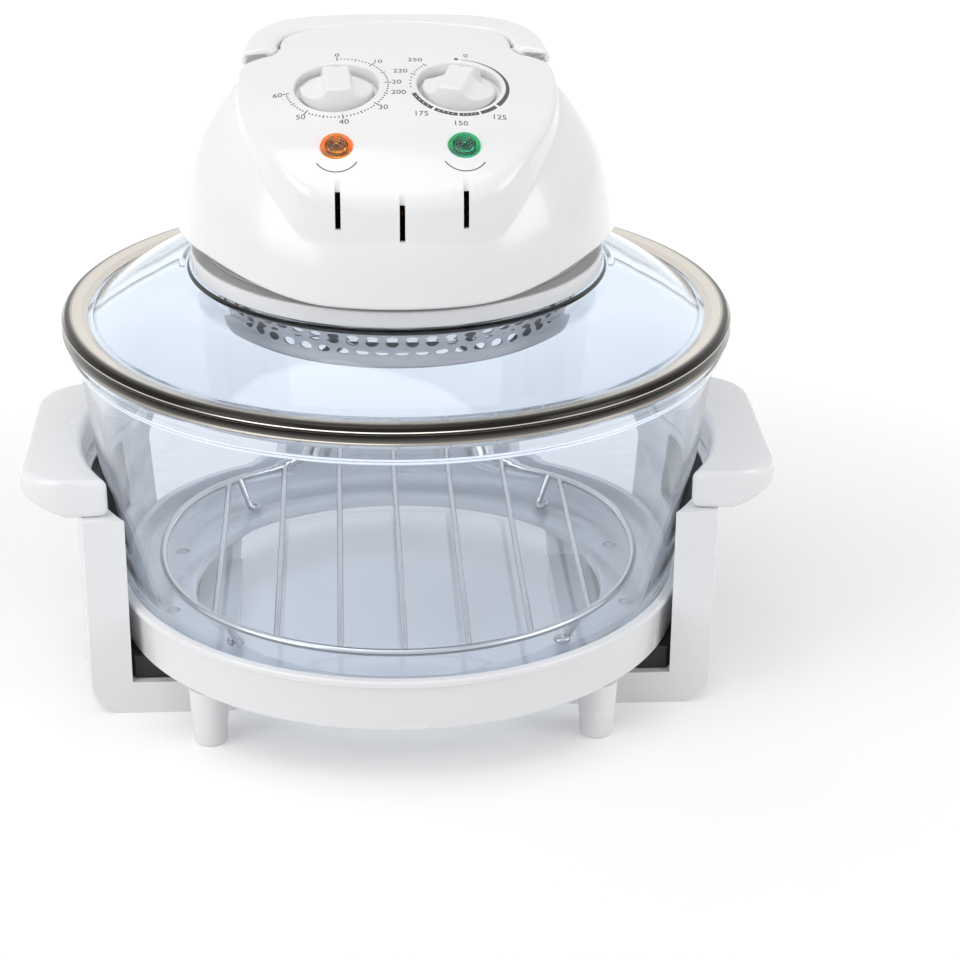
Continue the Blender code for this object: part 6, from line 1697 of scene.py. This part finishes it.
# %% Scales
TIMER_SCALE = 0.0250
TIMER_TEN = 43.2
TIMER_START = 0.8
TIMER_FIGURES = 0.0292
TIMER_TEN_REACH = 0.0016
TIMER_FIVE_REACH = 0.0010
HEAT_SCALE = 0.0238
HEAT_FIGURES = 0.0306
HEAT_OFF_INSET = 0.0020
HEAT_OFF_DOT = 0.0011
HEAT_OFF_OUT = 0.0005
HEAT_TICK_REACH = 0.0013
ARC_HALF_START = 0.0001
BLOCK_WIDTH = 0.0022
BLOCK_DOT = 0.00034
BLOCK_DOT_LIFT = 0.00010
LAMP_ARC_CENTRE = -0.0049
LAMP_ARC_RADIUS = 0.0109
# Blocks as (first angle, last angle, white dots), and figures as (word, angle).
HEAT_BLOCKS = ((134, 156, 0), (158.5, 182, 4), (184, 212, 4), (215, 250, 4))
HEAT_MARKS = (("125", 143), ("150", 181), ("175", 219), ("200", 256), ("220", 292), ("250", 317))
HEAT_TICK_ANGLES = (291, 317)

timer_place, heat_place = dial_frames["timer"], dial_frames["thermostat"]
strokes, spots = [], []
for minute in range(61):
    angle = TIMER_START + TIMER_TEN * minute / 10
    if minute % 5 == 0:
        reach = TIMER_FIVE_REACH if minute % 10 else TIMER_TEN_REACH
        strokes.append(tick(timer_place, angle, TIMER_SCALE - reach, TIMER_SCALE + reach))
    else:
        strokes.append(dot(timer_place, angle, TIMER_SCALE))
for ten in range(7):
    angle = TIMER_START + TIMER_TEN * ten
    strokes.append(figures(timer_place, str(10 * ten), angle, TIMER_FIGURES))

strokes.append(dot(heat_place, -1.0, HEAT_SCALE + HEAT_OFF_OUT, HEAT_OFF_DOT))
grow = np.linspace(0, 1, 40)
half_width = ARC_HALF_START + BLOCK_WIDTH / 2 * grow
strokes.append(stroke(heat_place, 4 + 126 * grow, HEAT_SCALE - half_width, HEAT_SCALE + half_width))
for first, last, count in HEAT_BLOCKS:
    strokes.append(stroke(heat_place, np.linspace(first, last, 12), HEAT_SCALE - BLOCK_WIDTH / 2,
                          HEAT_SCALE + BLOCK_WIDTH / 2))
    for angle in np.linspace(first, last, count + 2)[1:-1]:
        spots.append(dot(heat_place, angle, HEAT_SCALE, BLOCK_DOT, BLOCK_DOT_LIFT))
for first, last in ((256, HEAT_TICK_ANGLES[0]), HEAT_TICK_ANGLES):
    strokes += [dot(heat_place, angle, HEAT_SCALE) for angle in np.linspace(first, last, 6)[1:-1]]
strokes += [tick(heat_place, angle, HEAT_SCALE - HEAT_TICK_REACH, HEAT_SCALE + HEAT_TICK_REACH)
            for angle in HEAT_TICK_ANGLES]
strokes += [figures(heat_place, word, angle, HEAT_FIGURES) for word, angle in HEAT_MARKS]
strokes.append(figures(heat_place, "0", 9.0, HEAT_FIGURES - HEAT_OFF_INSET))
for place in lamp_frames.values():
    under = place @ Matrix.Translation((0, LAMP_ARC_CENTRE, 0))
    strokes.append(stroke(under, np.linspace(119, 241, 40), LAMP_ARC_RADIUS - STROKE / 2,
                          LAMP_ARC_RADIUS + STROKE / 2))
printed(joined("scales", strokes), "dial_scales", ink)
printed(joined("scale dots", spots), "dial_scale_dots", white_ink)

# %% [markdown]
# The heater guard is a pressed cup of thin steel that shows through the lid. Its side is pierced all round
# by rows of ovals, set like bricks, and its floor by three rings of long windows. The cup is turned, and
# one cut takes out all the openings at once.

# %% Heater guard
GUARD_SKIN = 0.0007
GUARD_FOOT_SHARE = 0.919
GUARD_WALL_SHARE = 0.959
GUARD_FOOT_ROUND = 0.0018
GUARD_FOOT_INNER_ROUND = 0.0012
GUARD_BEND_ROUND = 0.0006
GUARD_BEND_INNER_ROUND = 0.0011
GUARD_LIP_ROUND = 0.0002
OVAL_IN = 0.0040
OVAL_OUT = 0.0020
OVAL_WIDTH = 0.0064
OVAL_HEIGHT = 0.0026
OVAL_COUNT = 60
OVAL_ROWS = (0.0040, 0.0076, 0.0112)
WINDOW_RING_SHARES = (0.20, 0.44, 0.685)
WINDOW_WIDTH = 0.0125
SPOKE_COUNT = 6
SPOKE_WIDTH = 0.0080

guard_low, guard_high = box_of("heater_guard")
guard_lip = guard_high[0]
guard_foot, guard_wall = GUARD_FOOT_SHARE * guard_lip, GUARD_WALL_SHARE * guard_lip
guard_top, guard_floor = guard_high[2], guard_low[2]
guard_profile = rounded([
    (0, guard_floor, 0), (guard_foot, guard_floor, GUARD_FOOT_ROUND),
    (guard_wall, guard_top - GUARD_SKIN, GUARD_BEND_ROUND),
    (guard_lip, guard_top - GUARD_SKIN, GUARD_LIP_ROUND), (guard_lip, guard_top, GUARD_LIP_ROUND),
    (guard_wall - GUARD_SKIN, guard_top, GUARD_BEND_INNER_ROUND),
    (guard_foot - GUARD_SKIN, guard_floor + GUARD_SKIN, GUARD_FOOT_INNER_ROUND),
    (0, guard_floor + GUARD_SKIN, 0)])
guard = turned("guard", guard_profile)


def across_blade(angle, height, outline, near, far):
    """A level tool through a round wall: an outline (along the wall, up) at an angle and a height."""
    up = Matrix.Translation((0, 0, height))
    return placed(blade("oval", outline, near, far), Matrix.Rotation(angle, 4, "Z") @ up)


turn = np.linspace(0, 2 * np.pi, 14, endpoint=False)
oval = np.stack([OVAL_WIDTH / 2 * np.cos(turn), OVAL_HEIGHT / 2 * np.sin(turn)], axis=1)
cutters = []
for row, below in enumerate(OVAL_ROWS):
    for index in range(OVAL_COUNT):
        angle = 2 * np.pi * (index + row % 2 / 2) / OVAL_COUNT
        cutters.append(across_blade(angle, guard_top - below, oval, guard_foot - OVAL_IN,
                                    guard_wall + OVAL_OUT))
for share in WINDOW_RING_SHARES:
    near, far = share * guard_foot, share * guard_foot + WINDOW_WIDTH
    for index in range(SPOKE_COUNT):
        spare = SPOKE_WIDTH / (near + far)
        turn = 2 * np.pi / SPOKE_COUNT * index + np.linspace(spare, 2 * np.pi / SPOKE_COUNT - spare, 16)
        edge = np.stack([np.cos(turn), np.sin(turn)], axis=1)
        outline = np.concatenate([near * edge, far * edge[::-1]])
        cutters.append(slab("window", outline, guard_floor - GUARD_SKIN, guard_floor + 2 * GUARD_SKIN))
dressed(tidied(carved(guard, joined("openings", cutters)), 30.0), "heater_guard")

# %% [markdown]
# The rack is bent and welded from plated wire: a ring, seven cross wires that lie under it, and four legs
# whose ends are curled so that they don't scratch the glass. Each wire is a round tube along its own path.

# %% Wire rack
RACK_WIRE = 0.0020
CROSS_WIRES = 7
CROSS_WIRE_SHARE = 0.8
CROSS_SHORT = 0.0004
CROSS_DROP = 0.0022
CROSS_END_RISE = 0.0024
CROSS_END_SHARE = 0.06
LEG_WIRE_SHARE = 0.9
LEG_FOOT_SHARE = 0.925
CURL = 0.0055
CURL_TURN = 1.6 * np.pi
CURL_LIFT_SHARE = 1 / 12
WIRE_SIDES = 12

rack_low, rack_high = box_of("wire_rack")
ring_reach, ring_level = rack_high[0] - RACK_WIRE, rack_high[2] - RACK_WIRE
turn = np.linspace(0, 2 * np.pi, 240, endpoint=False)
circle = np.stack([ring_reach * np.cos(turn), ring_reach * np.sin(turn), np.full(240, ring_level)], axis=1)
wires = [tube_along("ring", circle, RACK_WIRE, closed=True)]
for index in range(CROSS_WIRES):
    x = ring_reach * (2 * (index + 1) / (CROSS_WIRES + 1) - 1)
    reach = np.sqrt(ring_reach ** 2 - x ** 2) - CROSS_SHORT
    along = np.linspace(-1, 1, 60)
    rise = CROSS_END_RISE * (1 - np.clip((1 - np.abs(along)) / CROSS_END_SHARE, 0, 1)) ** 2
    path = np.stack([np.full_like(along, x), reach * along, ring_level - CROSS_DROP + rise], axis=1)
    wires.append(tube_along("cross wire", path, RACK_WIRE * CROSS_WIRE_SHARE, WIRE_SIDES))
for index in range(4):
    angle = np.pi / 2 * (index + 0.5)
    out = np.array([np.cos(angle), np.sin(angle), 0])
    side = np.array([-np.sin(angle), np.cos(angle), 0])
    foot = rack_low[2] + RACK_WIRE * LEG_WIRE_SHARE
    sweep = np.linspace(0, CURL_TURN, 24)[:, None]
    start = out * (ring_reach - RACK_WIRE / 2) + np.array([0, 0, ring_level])
    end = out * (ring_reach * LEG_FOOT_SHARE) + np.array([0, 0, foot])
    drop = start + np.linspace(0, 1, 16, endpoint=False)[:, None] * (end - start)
    curl = end + CURL / 2 * (np.array([0, 0, 1]) * sweep * CURL_LIFT_SHARE - side * (1 - np.cos(sweep))
                             - out * np.sin(sweep))
    wires.append(tube_along("leg", evenly(np.concatenate([drop, curl]), 60), RACK_WIRE * LEG_WIRE_SHARE,
                            WIRE_SIDES))
dressed(joined("rack", wires), "wire_rack")

# %% [markdown]
# What is left are the parts inside the head and the small hardware: the motor, the heater tube and its
# ceramic holders, the pan, pins and screws. Their working shapes are already right, so they stay and only
# take their finishes.

# %% Finishes on the inner parts
kept = [node for node in frame["nodes"] if not frame["nodes"][node].hide_render]
for node in kept:
    shape = frame["nodes"][node]
    for holder in shape.material_slots:
        holder.material = finishes[slot_of[node]]
    if not shape.material_slots:
        shape.data.materials.append(finishes[slot_of[node]])
print("nodes kept as they are:", len(kept), kept)

# %% [markdown]
# The photograph was taken from a little above and left of the middle, with a long lens. The camera is
# built from its place, its heading, how far it looks down and a slight roll, as a tripod head would be
# set.

# %% Camera
CAMERA_REACH = 1.2203
CAMERA_HEIGHT = 0.6483
CAMERA_SIDE = np.radians(1.4)
CAMERA_HEADING = np.radians(3.454)
CAMERA_DOWN = np.radians(24.20)
CAMERA_ROLL = np.radians(0.541)
FOCAL_LENGTH = 93.59

ahead = np.array([np.sin(CAMERA_HEADING) * np.cos(CAMERA_DOWN), np.cos(CAMERA_HEADING) * np.cos(CAMERA_DOWN),
                  -np.sin(CAMERA_DOWN)])
level = np.array([np.cos(CAMERA_HEADING), -np.sin(CAMERA_HEADING), 0.0])
above = np.cross(level, ahead)
right = np.cos(CAMERA_ROLL) * level + np.sin(CAMERA_ROLL) * above
up = np.cos(CAMERA_ROLL) * above - np.sin(CAMERA_ROLL) * level
spot = np.array([-CAMERA_REACH * np.sin(CAMERA_SIDE), -CAMERA_REACH * np.cos(CAMERA_SIDE), CAMERA_HEIGHT])
place = np.eye(4)
place[:3] = np.stack([right, up, -ahead, spot], axis=1)
camera = bpy.data.objects.new("camera", bpy.data.cameras.new("camera"))
bpy.context.scene.collection.objects.link(camera)
camera.matrix_world = Matrix(place)
camera.data.lens = FOCAL_LENGTH
bpy.context.scene.camera = camera
print("camera at", spot.round(3))

# %% [markdown]
# Product photographs are lit by large soft boxes in a white room. The world is white to the eye, to
# reflections and through glass, and a plain soft grey to everything else, so that the lamps shape the
# object. The floor is a real surface that takes the shadow, with a little light of its own for the eye
# only, which lifts it to white around the shadow.

# %% Light and floor
AMBIENT = 0.445
AMBIENT_BLUE = 1.02
FLOOR_TONE = 0.86
FLOOR_ROUGHNESS = 0.9
FLOOR_LIFT = 0.20
FAR_LIFT = 0.85
LIFT_START = 0.25
LIFT_END = 1.1
FLOOR_HALF = 6.0


def seen_by_eye(tree):
    """The share of rays that are the camera's, a reflection's or a glass's: the highest of the three."""
    rays = tree.nodes.new("ShaderNodeLightPath")
    seen = math_node(tree, "MAXIMUM", rays.outputs["Is Camera Ray"], rays.outputs["Is Glossy Ray"])
    return math_node(tree, "MAXIMUM", seen, rays.outputs["Is Transmission Ray"])


world = bpy.data.worlds.new("white studio")
world.use_nodes = True
bpy.context.scene.world = world
tree = world.node_tree
grey = (AMBIENT, AMBIENT, AMBIENT * AMBIENT_BLUE)
tree.links.new(mixed_colour(tree, seen_by_eye(tree), grey, (1.0, 1.0, 1.0)),
               tree.nodes["Background"].inputs["Color"])

floor_finish, tree, shader, vector = new_finish("pale studio floor")
shader.inputs["Base Color"].default_value = (FLOOR_TONE, FLOOR_TONE, FLOOR_TONE, 1.0)
shader.inputs["Roughness"].default_value = FLOOR_ROUGHNESS
shader.inputs["Specular IOR Level"].default_value = 0.0
reach = tree.nodes.new("ShaderNodeVectorMath")
reach.operation = "LENGTH"
tree.links.new(vector, reach.inputs[0])
spread = tree.nodes.new("ShaderNodeMapRange")
spread.interpolation_type = "SMOOTHSTEP"
spread.inputs["From Min"].default_value = LIFT_START
spread.inputs["From Max"].default_value = LIFT_END
tree.links.new(reach.outputs["Value"], spread.inputs["Value"])
glow = mixed_colour(tree, spread.outputs["Result"], (FLOOR_LIFT,) * 3, (FAR_LIFT,) * 3)
lift = mixed_colour(tree, seen_by_eye(tree), (0, 0, 0), glow)
tree.links.new(lift, shader.inputs["Emission Color"])
shader.inputs["Emission Strength"].default_value = 1.0
plain = np.linspace(-FLOOR_HALF, FLOOR_HALF, 3)
across, depth = np.meshgrid(plain, plain)
floor = bpy.data.objects.new("floor", sheet_mesh("floor", np.stack([across, depth, 0 * across], axis=-1),
                                                 across=False))
floor.data.materials.append(floor_finish)
bpy.context.scene.collection.objects.link(floor)
print("floor", 2 * FLOOR_HALF, "m across, lifted to white from", LIFT_START, "to", LIFT_END, "m")

# %% [markdown]
# Three soft boxes light the object: the strongest from the left and low, where the photograph has its
# brightest faces, one from above and a weaker one from the right. They look at the middle of the oven.

# %% Lamps
LOOKED_AT = (0.0, 0.0, 0.2)
# Each lamp's place, width and watts.
LAMPS = {"top box": ((-0.5, -0.4, 2.2), 1.8, 17.0), "left box": ((-2.0, -1.3, 1.1), 1.5, 19.5),
         "right box": ((2.0, -0.9, 1.0), 1.2, 14.0)}


def soft_box(name, spot, width, watts):
    """A square area lamp at a spot, turned to look at the oven."""
    lamp = bpy.data.lights.new(name, "AREA")
    lamp.shape = "SQUARE"
    lamp.size = width
    lamp.energy = watts
    made = bpy.data.objects.new(name, lamp)
    bpy.context.scene.collection.objects.link(made)
    made.location = spot
    made.rotation_euler = (Vector(LOOKED_AT) - Vector(spot)).to_track_quat("-Z", "Y").to_euler()


for name, (spot, width, watts) in LAMPS.items():
    soft_box(name, spot, width, watts)
print("lamps:", {name: watts for name, (spot, width, watts) in LAMPS.items()})

# %% [markdown]
# Last, the view transform is set to Standard.

# %% Finish
bpy.context.scene.view_settings.view_transform = "Standard"
